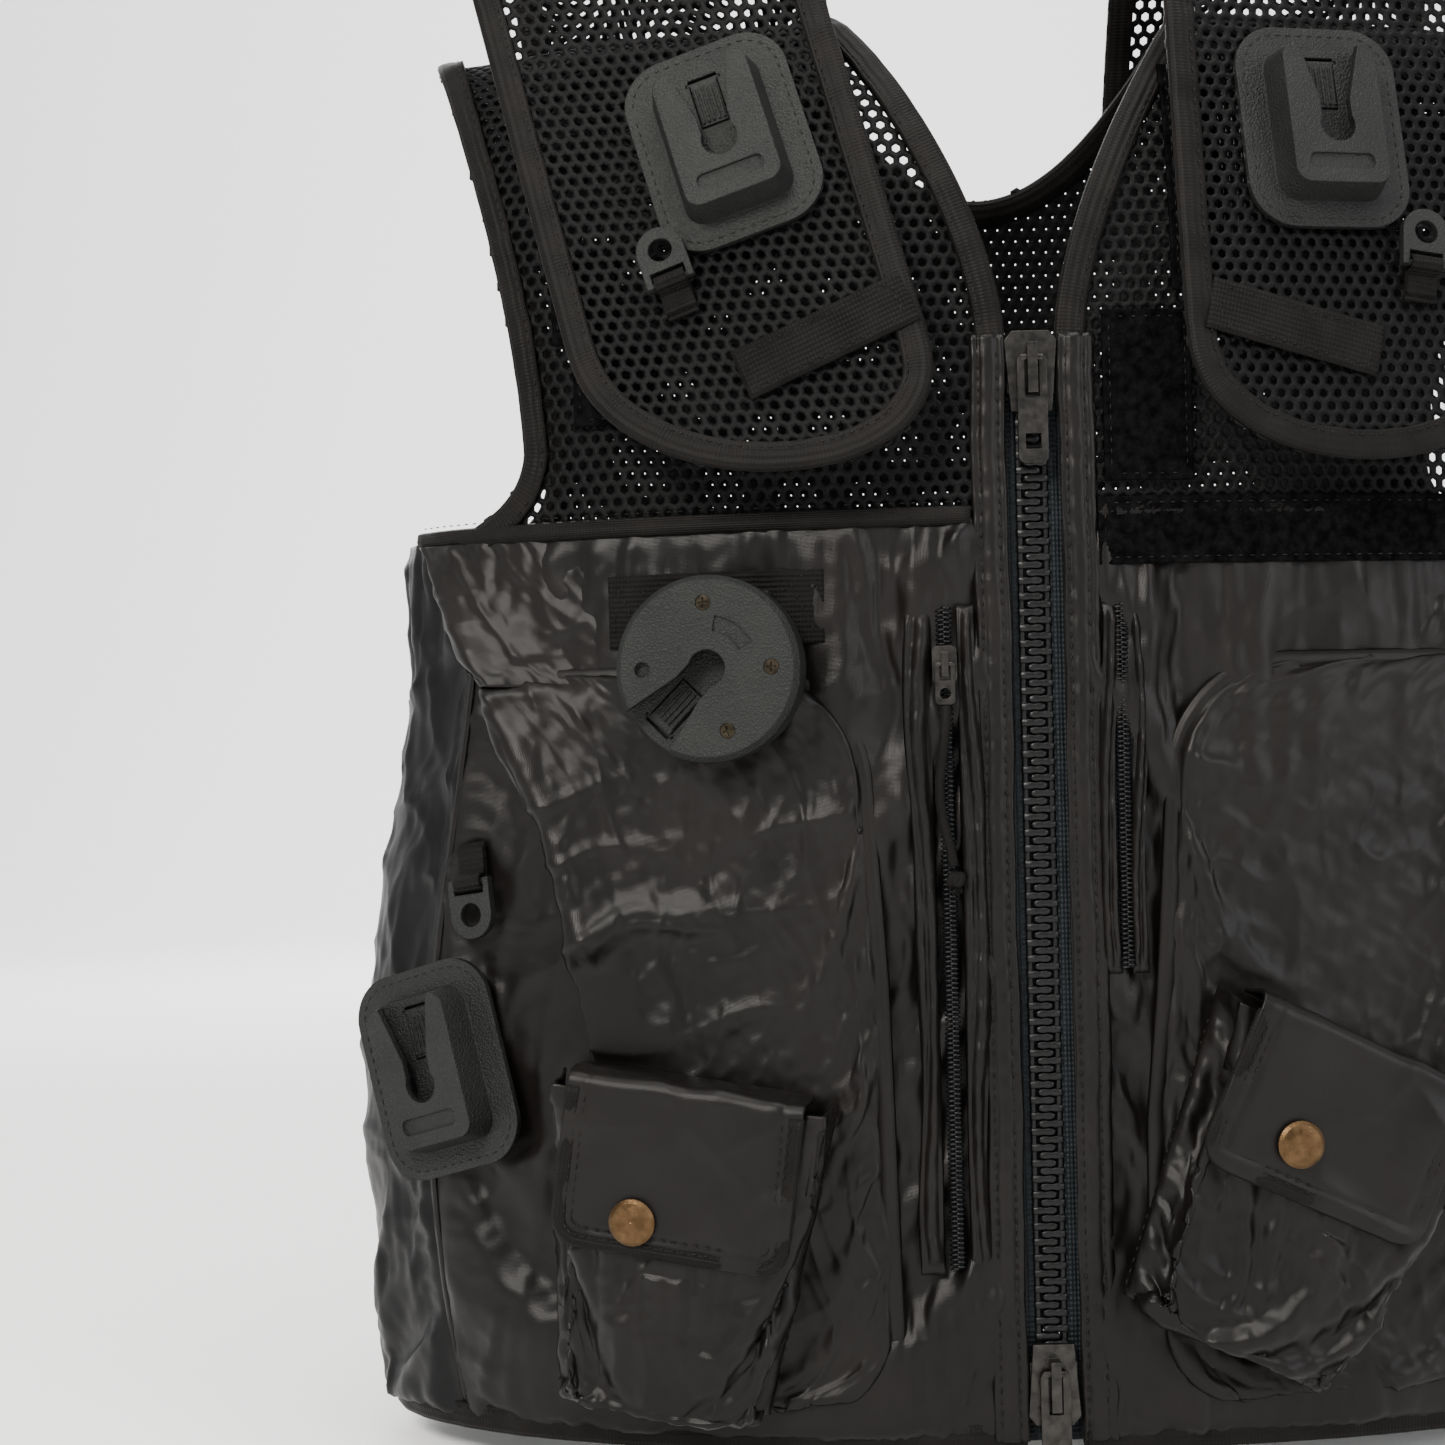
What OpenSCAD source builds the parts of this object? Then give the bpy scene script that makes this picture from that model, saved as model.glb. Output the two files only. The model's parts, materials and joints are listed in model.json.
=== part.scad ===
// Equipment carrier vest: zip-front nylon vest with a mesh yoke, over-shoulder dock flaps,
// bellows pockets and keyhole docks. +X is the wearer's left, -Y the front, +Z up.
// The origin is the middle of the line between the two shoulder tops, where the vest hangs.
// The modules work with the hem at height 0, and place() moves them to the origin.

/* [Body] */
// Width across the waist
body_w = 472; // [440:1:580]
// Width at the armpits
chest_w = 424; // [400:1:470]
// Depth of the hanging vest, front to back
body_d = 170; // [150:1:206]
// Height from hem to shoulder top
body_h = 484; // [440:1:600]
// Height from armpit to shoulder top
armhole_depth = 184; // [175:1:200]
// Height from the top of the zip's chain to the shoulder top
front_neck_drop = 139; // [130:1:142]
// Height over which the yoke leans back to the shoulder
lean_drop = 144; // [143:1:160]
// Height of the widest part of the waist
waist_z = 110; // [80:1:130]
// How far the hem draws in on each side
hem_in = 14; // [0:1:30]
// Thickness of a fabric panel
cloth_t = 3; // [2:0.5:3]
// Half width of the neck opening at the shoulder
neck_half = 62; // [50:1:75]
// Drop of the neckline at the back
back_neck_drop = 48; // [30:1:60]
// Width of the edge binding
binding_w = 12; // [8:1:12]
// Thickness of the edge binding
binding_t = 1.4; // [1:0.1:1.6]

/* [Front zip] */
// Height of the bottom of the tooth chain
zip_bottom_z = 28; // [24:1:40]
// Spacing of the teeth on one side
tooth_pitch = 5.1; // [4:0.1:6]
// Half width of the gap between the two front edges
zip_gap = 9; // [9:0.5:11]
// Length of a front slider
slider_len = 26; // [22:1:28]
// Length of a front zip pull
pull_len = 35; // [28:1:40]

/* [Shoulder flaps] */
// Width of an over-shoulder flap
flap_w = 114; // [95:1:118]
// Length of the flap's straight front part
flap_len = 187; // [165:1:200]
// Thickness of the flap
flap_t = 2.6; // [2:0.1:3]

/* [Docks] */
// Width of a sewn dock's flange
dock_w = 56; // [46:1:68]
// Height of a sewn dock's flange
dock_h = 70; // [64:1:84]
// Rise of a sewn dock's body above its flange
dock_rise = 10.5; // [8.5:0.5:13]
// Diameter of the round dock
puck_d = 60; // [50:1:72]
// Thickness of the round dock
puck_t = 14; // [12:0.5:17]
// Radius of the round end of the keyhole
seat_r = 6; // [5:0.1:6.5]
// Width of the keyhole's mouth
mouth_w = 22; // [18:0.5:24]

/* [Pockets] */
// Width of a bellows pocket
cargo_w = 88; // [73:1:100]
// Height of a bellows pocket
cargo_h = 104; // [90:1:108]
// Depth of a bellows pocket
cargo_d = 22; // [18:0.1:27]
// Drop of the pocket lid's front
lid_drop = 56; // [45:1:68]
// Diameter of the snap cap
snap_d = 15; // [12:0.5:18]

/* [Small hardware] */
// Width of a swivel ring
ring_w = 16; // [14:0.5:20]
// Radius of the round hole in a swivel ring
ring_hole_r = 4; // [3:0.1:4.5]
// Thickness of a swivel ring
ring_t = 3; // [2.5:0.1:4]
// Diameter of a zip pull cord
cord_d = 3.4; // [2.5:0.1:4]

/* [Hidden] */
$fn = 48;

RIGHT = -1;
LEFT = 1;
nylon = [0.13, 0.12, 0.12];
mesh_black = [0.07, 0.07, 0.07];
tape_black = [0.10, 0.09, 0.08];
moulded = [0.20, 0.20, 0.18];
gunmetal = [0.30, 0.29, 0.26];
brass = [0.55, 0.36, 0.16];

// ---- heights and half widths that everything else is placed from ----
half_d = body_d / 2;
armpit_z = body_h - armhole_depth;
seam_z = armpit_z + 3;
lean_z = body_h - lean_drop;
zip_top_z = body_h - front_neck_drop;
neck_start_z = zip_top_z + 15;
side_angle = 60;
shoulder_bulge = 2.6;
shoulder_slope = 0.08;
lean_len = PI / 2 * sqrt((pow(lean_drop, 2) + pow(half_d, 2)) / 2);
s_top = lean_z + lean_len;
arm_in = chest_w / 2 - 46;
arm_top = chest_w / 2 - 15;
arm_corner = 30;
lay = 0.6;
probe = 0.5;

// ---- the surface of the hanging vest ----
function clamp01(t) = min(1, max(0, t));
function smooth(t) = let (c = clamp01(t)) c * c * (3 - 2 * c);
function unit(v) = v / norm(v);

// Half width of the body at height z
function half_w(z) =
    z <= waist_z ? body_w / 2 - hem_in * pow((waist_z - z) / waist_z, 2)
    : chest_w / 2 + (body_w - chest_w) / 2 * (1 - smooth((z - waist_z) / (armpit_z - waist_z)));

// s runs up the front from the hem, over the shoulder at s_top, and down the back.
function folded(s) = s > s_top ? 2 * s_top - s : s;
function lean_angle(s) = 90 * (folded(s) - lean_z) / lean_len;
function peak_z(x) = body_h - shoulder_slope * max(0, abs(x) - neck_half);
function skin_z(x, s) =
    folded(s) <= lean_z ? folded(s)
    : lean_z + (peak_z(x) - lean_z) * pow(sin(lean_angle(s)), 2 / shoulder_bulge);
function skin_d(s) =
    (s > s_top ? -1 : 1)
    * (folded(s) <= lean_z ? 1 : pow(max(0, cos(lean_angle(s))), 2 / shoulder_bulge));
function bow(x, z) = sqrt(max(0.02, 1 - pow(x / half_w(z), 2)));
function skin(x, s) =
    let (z = skin_z(x, s))
    [x, -half_d * bow(x, z) * skin_d(s), z];
function skin_normal(x, s) =
    unit(cross(skin(x + probe, s) - skin(x - probe, s), skin(x, s + probe) - skin(x, s - probe)));
function out(x, s, d) = skin(x, s) + d * skin_normal(x, s);
function s_of(z) =
    z <= lean_z ? z
    : lean_z + lean_len / 90 * asin(pow((z - lean_z) / lean_drop, shoulder_bulge / 2));

// Angle a runs round the body from the front centre towards the wearer's left.
function ring_pt(a, z) = [half_w(z) * sin(a), -half_d * cos(a), z];
function ring_out(a, z, d) =
    ring_pt(a, z)
    + d * unit(cross(ring_pt(a + 1, z) - ring_pt(a - 1, z), ring_pt(a, z + 1) - ring_pt(a, z - 1)));
function side_x(z) = half_w(z) * sin(side_angle);

// ---- edges of the yoke, as x at each s ----
s_neck_start = s_of(neck_start_z);
s_neck_back = 2 * s_top - s_of(body_h - back_neck_drop);
s_yoke_back = 2 * s_top - seam_z;
function arm_x(z) =
    let (t = (z - armpit_z) / arm_corner)
    t < 1 ? arm_in + (chest_w / 2 - 2 - arm_in) * (1 - sqrt(max(0, 1 - pow(1 - max(0, t), 2))))
    : arm_in + (arm_top - arm_in) * pow((z - armpit_z - arm_corner) / (armhole_depth - arm_corner), 1.5);
function arm_at(s) = arm_x(skin_z(0, s));
function neck_at(s) =
    s <= s_neck_start ? zip_gap
    : s <= s_top
    ? zip_gap + (neck_half - zip_gap) * pow((skin_z(0, s) - neck_start_z) / (body_h - neck_start_z), 1.6)
    : neck_half * sqrt(max(0, 1 - pow((s - s_top) / (s_neck_back - s_top), 2)));

// ---- building blocks ----
// Closed slab between two grids of points. at(u, v, k) gives the inner (k 0) and outer (k 1) face.
module slab(nu, nv, at) {
    points = [for (k = [0, 1]) for (j = [0:nv]) for (i = [0:nu]) at(i / nu, j / nv, k)];
    layer = (nu + 1) * (nv + 1);
    function id(k, i, j) = k * layer + j * (nu + 1) + i;
    faces = concat(
        [for (j = [0:nv - 1]) for (i = [0:nu - 1]) for (f = [
            [id(1, i, j), id(1, i, j + 1), id(1, i + 1, j + 1)],
            [id(1, i, j), id(1, i + 1, j + 1), id(1, i + 1, j)],
            [id(0, i, j), id(0, i + 1, j), id(0, i + 1, j + 1)],
            [id(0, i, j), id(0, i + 1, j + 1), id(0, i, j + 1)]]) f],
        [for (i = [0:nu - 1]) for (f = [
            [id(1, i, 0), id(1, i + 1, 0), id(0, i + 1, 0)],
            [id(1, i, 0), id(0, i + 1, 0), id(0, i, 0)],
            [id(1, i + 1, nv), id(1, i, nv), id(0, i, nv)],
            [id(1, i + 1, nv), id(0, i, nv), id(0, i + 1, nv)]]) f],
        [for (j = [0:nv - 1]) for (f = [
            [id(1, 0, j + 1), id(1, 0, j), id(0, 0, j)],
            [id(1, 0, j + 1), id(0, 0, j), id(0, 0, j + 1)],
            [id(1, nu, j), id(1, nu, j + 1), id(0, nu, j + 1)],
            [id(1, nu, j), id(0, nu, j + 1), id(0, nu, j)]]) f]
    );
    polyhedron(points, faces, convexity = 8);
}

// Fabric on the skin, between two edges given as x at each s
module skin_panel(nu, nv, s0, s1, x_in, x_out, d0, d1)
    slab(nu, nv, function(u, v, k)
        let (s = s0 + v * (s1 - s0), a = x_in(s), b = x_out(s))
        out(a + u * (b - a), s, k == 0 ? d0 : d1));

// Tape of width w along an edge path of [x, s]; u 0 is the side nearer the centre line
module edge_tape(n, path, w, inboard, d0, d1)
    slab(1, n, function(u, v, k)
        let (
            t = unit(path(min(1, v + 0.01)) - path(max(0, v - 0.01))),
            p = path(v) + [t.y, -t.x] * w * (inboard ? u - 1 : u)
        )
        out(p.x, p.y, k == 0 ? d0 : d1));

module ring_panel(nu, nv, a0, a1, z0, z1, d0, d1)
    slab(nu, nv, function(u, v, k)
        ring_out(a0 + u * (a1 - a0), z0 + v * (z1 - z0), k == 0 ? d0 : d1));

module place() translate([0, 0, -body_h]) children();
module on_side(side)
    if (side == LEFT) children();
    else mirror([1, 0, 0]) children();

// Frame at point p with its z along n and its y as near to up as it can be
module frame_at(p, n, up, turn = 0) {
    z = unit(n);
    x = unit(cross(up, z));
    y = cross(z, x);
    multmatrix([
        [x.x, y.x, z.x, p.x],
        [x.y, y.y, z.y, p.y],
        [x.z, y.z, z.z, p.z],
        [0, 0, 0, 1]
    ])
        rotate([0, 0, turn]) children();
}
module on_skin(x, z, d, turn = 0)
    frame_at(out(x, z, d), skin_normal(x, z), [0, 0, 1], turn) children();

module round_rect(w, h, r) {
    square([w - 2 * r, h], center = true);
    square([w, h - 2 * r], center = true);
    for (i = [-1, 1], j = [-1, 1])
        translate([i * (w / 2 - r), j * (h / 2 - r)]) circle(r);
}
module round_plate(w, h, r, t) linear_extrude(t) round_rect(w, h, r);

// ---- fabric body ----
module back_panel() color(nylon) place()
    ring_panel(20, 16, 180 - side_angle, 180 + side_angle, 0.4, seam_z, -cloth_t, 0);

module back_yoke_mesh() color(mesh_black) place() {
    slab(24, 12, function(u, v, k)
        let (s = s_neck_back + 0.2 + v * (s_yoke_back - s_neck_back - 0.2))
        out(arm_at(s) * (2 * u - 1), s, k == 0 ? -cloth_t : 0));
    for (side = [RIGHT, LEFT]) on_side(side)
        skin_panel(8, 9, s_top, s_neck_back,
            function(s) max(0.3, neck_at(s)), function(s) arm_at(s), -cloth_t, 0);
}

module front_panel(side) color(nylon) place() on_side(side)
    skin_panel(12, 16, 0.4, seam_z, function(s) zip_gap, function(s) side_x(s), -cloth_t, 0);

module side_panel(side) color(nylon) place() on_side(side)
    ring_panel(10, 16, side_angle + 0.05, 179.95 - side_angle, 0.4, seam_z, -cloth_t, 0);

module chest_mesh(side) color(mesh_black) place() on_side(side)
    skin_panel(10, 18, seam_z, s_top,
        function(s) neck_at(s), function(s) arm_at(s), -cloth_t, 0);

module neck_binding() color(tape_black) place()
    for (side = [RIGHT, LEFT]) on_side(side) {
        edge_tape(18, function(v) let (s = s_neck_start + v * (s_top - s_neck_start)) [neck_at(s), s],
            binding_w, false, lay, lay + binding_t);
        edge_tape(18, function(v) let (a = 90 * v)
            [neck_half * cos(a), s_top + (s_neck_back - s_top) * sin(a)],
            binding_w, false, lay, lay + binding_t);
    }

module armhole_binding(side) color(tape_black) place() on_side(side)
    edge_tape(56, function(v)
        let (s = armpit_z + 1 + (2 * s_top - 2 * armpit_z - 2) * (1 - cos(180 * v)) / 2) [arm_at(s), s],
        binding_w, true, lay, lay + binding_t);

module hem_binding() color(tape_black) place()
    ring_panel(80, 1, 2.6, 357.4, 0, binding_w, lay, lay + binding_t);

module placket(side) color(tape_black) place() on_side(side)
    skin_panel(1, 16, binding_w + 0.5, s_neck_start - 1,
        function(s) zip_gap, function(s) zip_gap + binding_w - 3, lay, lay + binding_t);

// ---- front zip ----
zip_y = -half_d + 4;
slider_top_z = zip_top_z + 4;
slider_bottom_z = zip_bottom_z - 6;
function slider_outline() = [
    [-8.4, 0.385 * slider_len], [-6, slider_len / 2], [6, slider_len / 2],
    [8.4, 0.385 * slider_len], [6.6, -slider_len / 2], [-6.6, -slider_len / 2]
];

module zip_tapes() color(tape_black) place()
    for (side = [RIGHT, LEFT]) on_side(side)
        translate([5, zip_y - 0.4, 4]) cube([15, 0.8, zip_top_z + 4]);

module zip_teeth(side) color(moulded) place() on_side(side) {
    count = floor((zip_top_z - zip_bottom_z) / tooth_pitch);
    shift = side == LEFT ? 0 : tooth_pitch / 2;
    translate([3.6, zip_y - 1.2, zip_bottom_z]) cube([1.3, 2.4, count * tooth_pitch]);
    for (i = [0:count - 1])
        translate([0.9, zip_y - 2.2, zip_bottom_z + shift + i * tooth_pitch])
            cube([4, 4.4, tooth_pitch * 0.45]);
}

// Slider body, with its crown; flip puts the bridge at the bottom
module slider_body(flip) {
    front = zip_y - 2.6;
    back = zip_y + 2.6;
    module plates() {
        translate([0, front, 0]) rotate([90, 0, 0]) linear_extrude(2.6) polygon(slider_outline());
        translate([0, back + 2, 0]) rotate([90, 0, 0]) linear_extrude(2) polygon(slider_outline());
        for (i = [-1, 1]) {
            translate([i * 7.1 - 0.55, front - 1, -0.27 * slider_len])
                cube([1.1, 2.7, 0.6 * slider_len]);
            translate([i * 7.1 - 0.55, zip_y + 0.8, -0.27 * slider_len])
                cube([1.1, 2.8, 0.6 * slider_len]);
        }
        translate([-0.6, front - 0.5, slider_len / 2 - 4]) cube([1.2, 6.2, 4]);
    }
    if (flip) mirror([0, 0, 1]) plates();
    else plates();
    difference() {
        translate([-1.6, front - 8.1, -7.6]) cube([3.2, 6, 16.2]);
        translate([-2, front - 6.5, -5]) cube([4, 3.9, 12]);
    }
}

// Pull tab hanging from a bar through the crown
pull_bar_y = zip_y - 2.6 - 2.6 - 2.2;
pull_bar_z = 4;
module slider_pull() translate([0, pull_bar_y, pull_bar_z]) {
    translate([-3.6, 0, 0]) rotate([0, 90, 0]) cylinder(r = 1.2, h = 7.2);
    difference() {
        translate([0, 0.9, -pull_len / 2 + 1]) rotate([90, 0, 0]) round_plate(9.6, pull_len, 2.4, 1.8);
        translate([-2.3, -2, -12.8]) cube([4.6, 4, 20]);
        translate([-2.5, -2, -pull_len + 5.5]) cube([5, 4, 5]);
    }
}

module zip_top_slider() color(gunmetal) place() translate([0, 0, slider_top_z]) slider_body(false);
module zip_top_pull() color(gunmetal) place() translate([0, 0, slider_top_z]) slider_pull();
module zip_bottom_slider() color(gunmetal) place() translate([0, 0, slider_bottom_z]) slider_body(true);
module zip_bottom_pull() color(gunmetal) place() translate([0, 0, slider_bottom_z]) slider_pull();

// ---- patch pockets, with a rounded front edge and a draped outer edge ----
patch_top_z = armpit_z - 46;
patch_bottom_z = binding_w + 3;
top_corner = 35;
low_corner = 25;
function patch_inner(side, z) =
    side == RIGHT ? lookup(z, [[patch_bottom_z, 50], [0.6 * patch_top_z, 53], [patch_top_z, 59]])
    : lookup(z, [[patch_bottom_z, 34], [0.42 * patch_top_z, 35], [0.58 * patch_top_z, 39], [patch_top_z, 46]]);
function patch_corner(z) =
    z > patch_top_z - top_corner
    ? top_corner * (1 - sqrt(max(0, 1 - pow((z - patch_top_z + top_corner) / top_corner, 2))))
    : z < patch_bottom_z + low_corner
    ? low_corner * (1 - sqrt(max(0, 1 - pow((patch_bottom_z + low_corner - z) / low_corner, 2))))
    : 0;
function patch_outer(z) =
    lookup(z, [[0, 132], [0.24 * patch_top_z, 135], [0.57 * patch_top_z, 143],
        [0.83 * patch_top_z, 157], [patch_top_z, 176]]);
module patch_pocket(side) color(nylon) place() on_side(side)
    slab(10, 18, function(u, v, k)
        let (
            z = patch_bottom_z + (patch_top_z - patch_bottom_z) * (1 - cos(180 * v)) / 2,
            a = patch_inner(side, z) + patch_corner(z)
        )
        out(a + u * (patch_outer(z) - a), z, k == 0 ? lay : lay + 2.4));

// ---- bellows pockets: open-topped box with a lid on the front ----
lid_t = 1.6;
lid_gap = 0.8;
lid_w = 0.875 * cargo_w;
hinge_z = 2;
snap_stem = 2.7;
function cargo_spot(side) = side == RIGHT ? [118, 70] : [75, 84];
function cargo_turn(side) = side == RIGHT ? 8 : -25;
function snap_spot(side) = side == RIGHT ? [12, cargo_h / 2 - lid_drop + 13] : [-10, cargo_h / 2 - lid_drop + 19];
module in_cargo(side) place() on_side(side)
    on_skin(cargo_spot(side).x, cargo_spot(side).y, lay + 3.6, cargo_turn(side)) children();

module cargo_pocket(side) color(nylon) in_cargo(side) {
    difference() {
        round_plate(cargo_w, cargo_h, 10, cargo_d);
        translate([0, 6, 1.4]) round_plate(cargo_w - 4, cargo_h + 8, 8, cargo_d - 3.4);
        translate([-cargo_w / 2 + 2, cargo_h / 2 - 14, 1.4]) cube([cargo_w - 4, 20, cargo_d - 3.4]);
    }
    translate([-lid_w / 2, cargo_h / 2 + 2.6, 0]) cube([lid_w, 10, 1.8]);
    translate([-lid_w / 2, cargo_h / 2 - 12, 0]) cube([lid_w, 24, 1.2]);
}

module cargo_lid(side) color(nylon) in_cargo(side)
    difference() {
        union() {
            translate([-lid_w / 2, cargo_h / 2 + 0.6, hinge_z + 0.4])
                cube([lid_w, lid_t, cargo_d + lid_gap + lid_t - hinge_z - 0.4]);
            translate([-lid_w / 2, cargo_h / 2 + 0.6 + lid_t - lid_drop, cargo_d + lid_gap])
                cube([lid_w, lid_drop, lid_t]);
        }
        translate([snap_spot(side).x, snap_spot(side).y, cargo_d]) cylinder(r = 4.2, h = 6);
    }

module snap_cap(side) color(brass) in_cargo(side)
    translate([snap_spot(side).x, snap_spot(side).y, cargo_d + lid_gap]) difference() {
        union() {
            cylinder(r = 4.1, h = 2);
            translate([0, 0, lid_t + 0.1]) rotate_extrude()
                polygon([[0, 0], [snap_d / 2, 0], [snap_d / 2, 0.9], [0.85 * snap_d / 2, 1.7],
                    [0.5 * snap_d / 2, 2.2], [0, 2.4]]);
        }
        translate([0, 0, -1]) cylinder(r = snap_stem, h = 2.4);
    }

module snap_studs() color(brass)
    for (side = [RIGHT, LEFT]) in_cargo(side)
        translate([snap_spot(side).x, snap_spot(side).y, cargo_d]) {
            cylinder(r = 4, h = 0.5);
            cylinder(r = 1.7, h = 1.7);
        }

// ---- chest slits beside the zip ----
slit_coil_half = 1.5;
function slit_x(side) = side == RIGHT ? 30 : 27;
function slit_low(side) = side == RIGHT ? 0.2 * armpit_z : 0.52 * armpit_z;
slit_high = armpit_z - 26;
slit_z = slit_high - 19;

module slit_welts() color(nylon) place()
    for (side = [RIGHT, LEFT]) on_side(side)
        for (edge = side == RIGHT ? [[-11.5, -4.8], [4.8, 12]] : [[-7.4, -2.6], [2.6, 7]])
            skin_panel(2, 12, slit_low(side), slit_high,
                function(s) slit_x(side) + edge[0], function(s) slit_x(side) + edge[1], lay, lay + 1.8);

module slit_coils() color(tape_black) place()
    for (side = [RIGHT, LEFT]) on_side(side)
        skin_panel(1, 12, slit_low(side), slit_high,
            function(s) slit_x(side) - slit_coil_half, function(s) slit_x(side) + slit_coil_half,
            lay, lay + 1.6);

slit_bar_d = 5.4;
module in_slit() place() on_side(RIGHT) on_skin(slit_x(RIGHT), slit_z, 0) children();
module slit_slider() color(gunmetal) in_slit() {
    translate([0, 0, 2.7]) round_plate(8, 12, 2, 1.4);
    for (i = [-1, 1]) translate([i * 3.1 - 0.6, -4.5, 1.2]) cube([1.2, 9, 2]);
    difference() {
        translate([-1.1, -4, 3.6]) cube([2.2, 8, 3.9]);
        translate([-2, -2.5, 4.2]) cube([4, 5, 2.2]);
    }
}
module slit_pull() color(gunmetal) in_slit() translate([0, 0, slit_bar_d]) {
    translate([-2.6, 0, 0]) rotate([0, 90, 0]) cylinder(r = 0.8, h = 5.2);
    difference() {
        translate([0, -6, -0.6]) round_plate(6.4, 14, 1.6, 1.2);
        translate([-1.7, -5.2, -2]) cube([3.4, 8, 4]);
        translate([0, -9.4, -2]) cylinder(r = 1.8, h = 4);
    }
}

// ---- free cord: [x, s, d] from the pull down to the knot ----
CORD = [[30, 241.5, 5.6], [30.1, 238.5, 6.2], [30.3, 235.5, 6.8], [30.7, 232, 7.1],
    [31.1, 228.5, 7.1], [31.6, 225, 6.8], [32, 221.5, 6.4], [32.4, 218, 5.9],
    [32.5, 214.5, 5.5], [32.4, 211, 5.2], [32, 207.5, 5.1], [31.4, 204, 5.2],
    [30.7, 200.5, 5.5], [29.9, 197, 5.9], [29.2, 193.5, 6.2], [28.6, 190, 6.5]];
cord_shift = slit_z - 255;
function cord_pt(i) = out(CORD[i].x, CORD[i].y + cord_shift, CORD[i].z);
module slit_cord() color(tape_black) place() on_side(RIGHT) {
    sides = 10;
    n = len(CORD);
    path = [for (i = [0:n - 1]) cord_pt(i)];
    points = [for (i = [0:n - 1]) for (j = [0:sides - 1])
        let (
            t = unit(path[min(n - 1, i + 1)] - path[max(0, i - 1)]),
            a = unit(cross(t, [1, 0, 0])),
            b = cross(t, a),
            w = 360 * j / sides
        )
        path[i] + cord_d / 2 * (cos(w) * a + sin(w) * b)];
    sides_faces = [for (i = [0:n - 2]) for (j = [0:sides - 1])
        let (k = (j + 1) % sides)
        for (f = [[i * sides + j, (i + 1) * sides + k, i * sides + k],
            [i * sides + j, (i + 1) * sides + j, (i + 1) * sides + k]]) f];
    polyhedron(points, concat(sides_faces,
        [[for (j = [0:sides - 1]) j]],
        [[for (j = [sides - 1:-1:0]) (n - 1) * sides + j]]), convexity = 4);
}
module slit_knot() color(tape_black) place() on_side(RIGHT)
    translate(cord_pt(len(CORD) - 1) + [-0.4, 0, -3.9]) sphere(r = 3.6);

// ---- hook-and-loop and webbing patches sewn on the yoke ----
module loop_tapes() color(mesh_black) place() {
    on_side(LEFT) {
        skin_panel(2, 4, s_of(armpit_z + 13), s_of(armpit_z + 68),
            function(s) 23, function(s) 52, lay, lay + 1.4);
        skin_panel(10, 2, armpit_z - 14, armpit_z + 8,
            function(s) 20.5, function(s) 158, lay, lay + 1.4);
        skin_panel(2, 14, s_of(armpit_z + 74), s_of(armpit_z + 150),
            function(s) 46, function(s) 64, lay + 1.9, lay + 3);
    }
    on_side(RIGHT) {
        skin_panel(2, 3, s_of(armpit_z + 66), s_of(armpit_z + 97),
            function(s) 133, function(s) 155, lay, lay + 1.4);
        skin_panel(2, 3, s_of(armpit_z + 37), s_of(armpit_z + 64),
            function(s) 120, function(s) 148, lay, lay + 1.4);
    }
}

// ---- keyhole docks ----
neck_w = 0.875 * seat_r;
// Keyhole with its seat at the origin and its mouth towards +y
module keyhole(reach, grow = 0) {
    circle(seat_r + grow);
    polygon([[-neck_w - grow, 0], [neck_w + grow, 0], [neck_w + grow, 9],
        [mouth_w / 2 + grow, reach], [-mouth_w / 2 - grow, reach], [-neck_w - grow, 9]]);
}
// Sprung tongue lying in its pocket below the keyhole, hinged at its outer end
tongue_w = 9;
tongue_len = 16;
tongue_t = 1.5;
module tongue_pocket(hinge_y, floor_z) {
    translate([-tongue_w / 2 - 0.4, hinge_y - tongue_len - 0.5, floor_z])
        cube([tongue_w + 0.8, tongue_len + 2.2, 6]);
    translate([-tongue_w / 2 - 1.5, hinge_y, floor_z + 1.7]) rotate([0, 90, 0])
        cylinder(r = 0.98, h = tongue_w + 3);
}
module tongue(hinge_y, floor_z) translate([0, hinge_y, floor_z + 1.7]) {
    translate([-tongue_w / 2 - 1.1, 0, 0]) rotate([0, 90, 0]) cylinder(r = 0.9, h = tongue_w + 2.2);
    translate([-tongue_w / 2, -tongue_len, 0]) cube([tongue_w, tongue_len, 1.2]);
    for (i = [-2:2])
        translate([i * 1.8 - 0.4, -tongue_len + 1, 1]) cube([0.8, tongue_len - 3, 0.8]);
}

dock_top = 2.5 + dock_rise;
dock_seat_y = -4;
dock_mouth = 0.36 * dock_h - dock_seat_y + 1;
dock_hinge_y = 0.36 * dock_h - 4;
dock_floor = 2.8;
module dock() difference() {
    union() {
        translate([0, 0, 0.3]) round_plate(dock_w, dock_h, 0.27 * dock_w, 2.2);
        hull() {
            translate([0, 0, 2.2]) round_plate(0.66 * dock_w, 0.75 * dock_h, 7, 0.4);
            translate([0, 0, dock_top - 0.4]) round_plate(0.58 * dock_w, 0.69 * dock_h, 5, 0.4);
        }
    }
    translate([0, dock_seat_y, dock_top - 2.8]) linear_extrude(6) keyhole(dock_mouth);
    translate([0, dock_seat_y, dock_floor + 2.6]) linear_extrude(dock_top - dock_floor - 5.4)
        keyhole(dock_mouth, 2.6);
    tongue_pocket(dock_hinge_y, dock_floor);
    translate([0, -0.24 * dock_h, dock_top - 0.8]) round_plate(0.4 * dock_w, 5.4, 2.2, 2);
}
module dock_tongue() tongue(dock_hinge_y, dock_floor);

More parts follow.
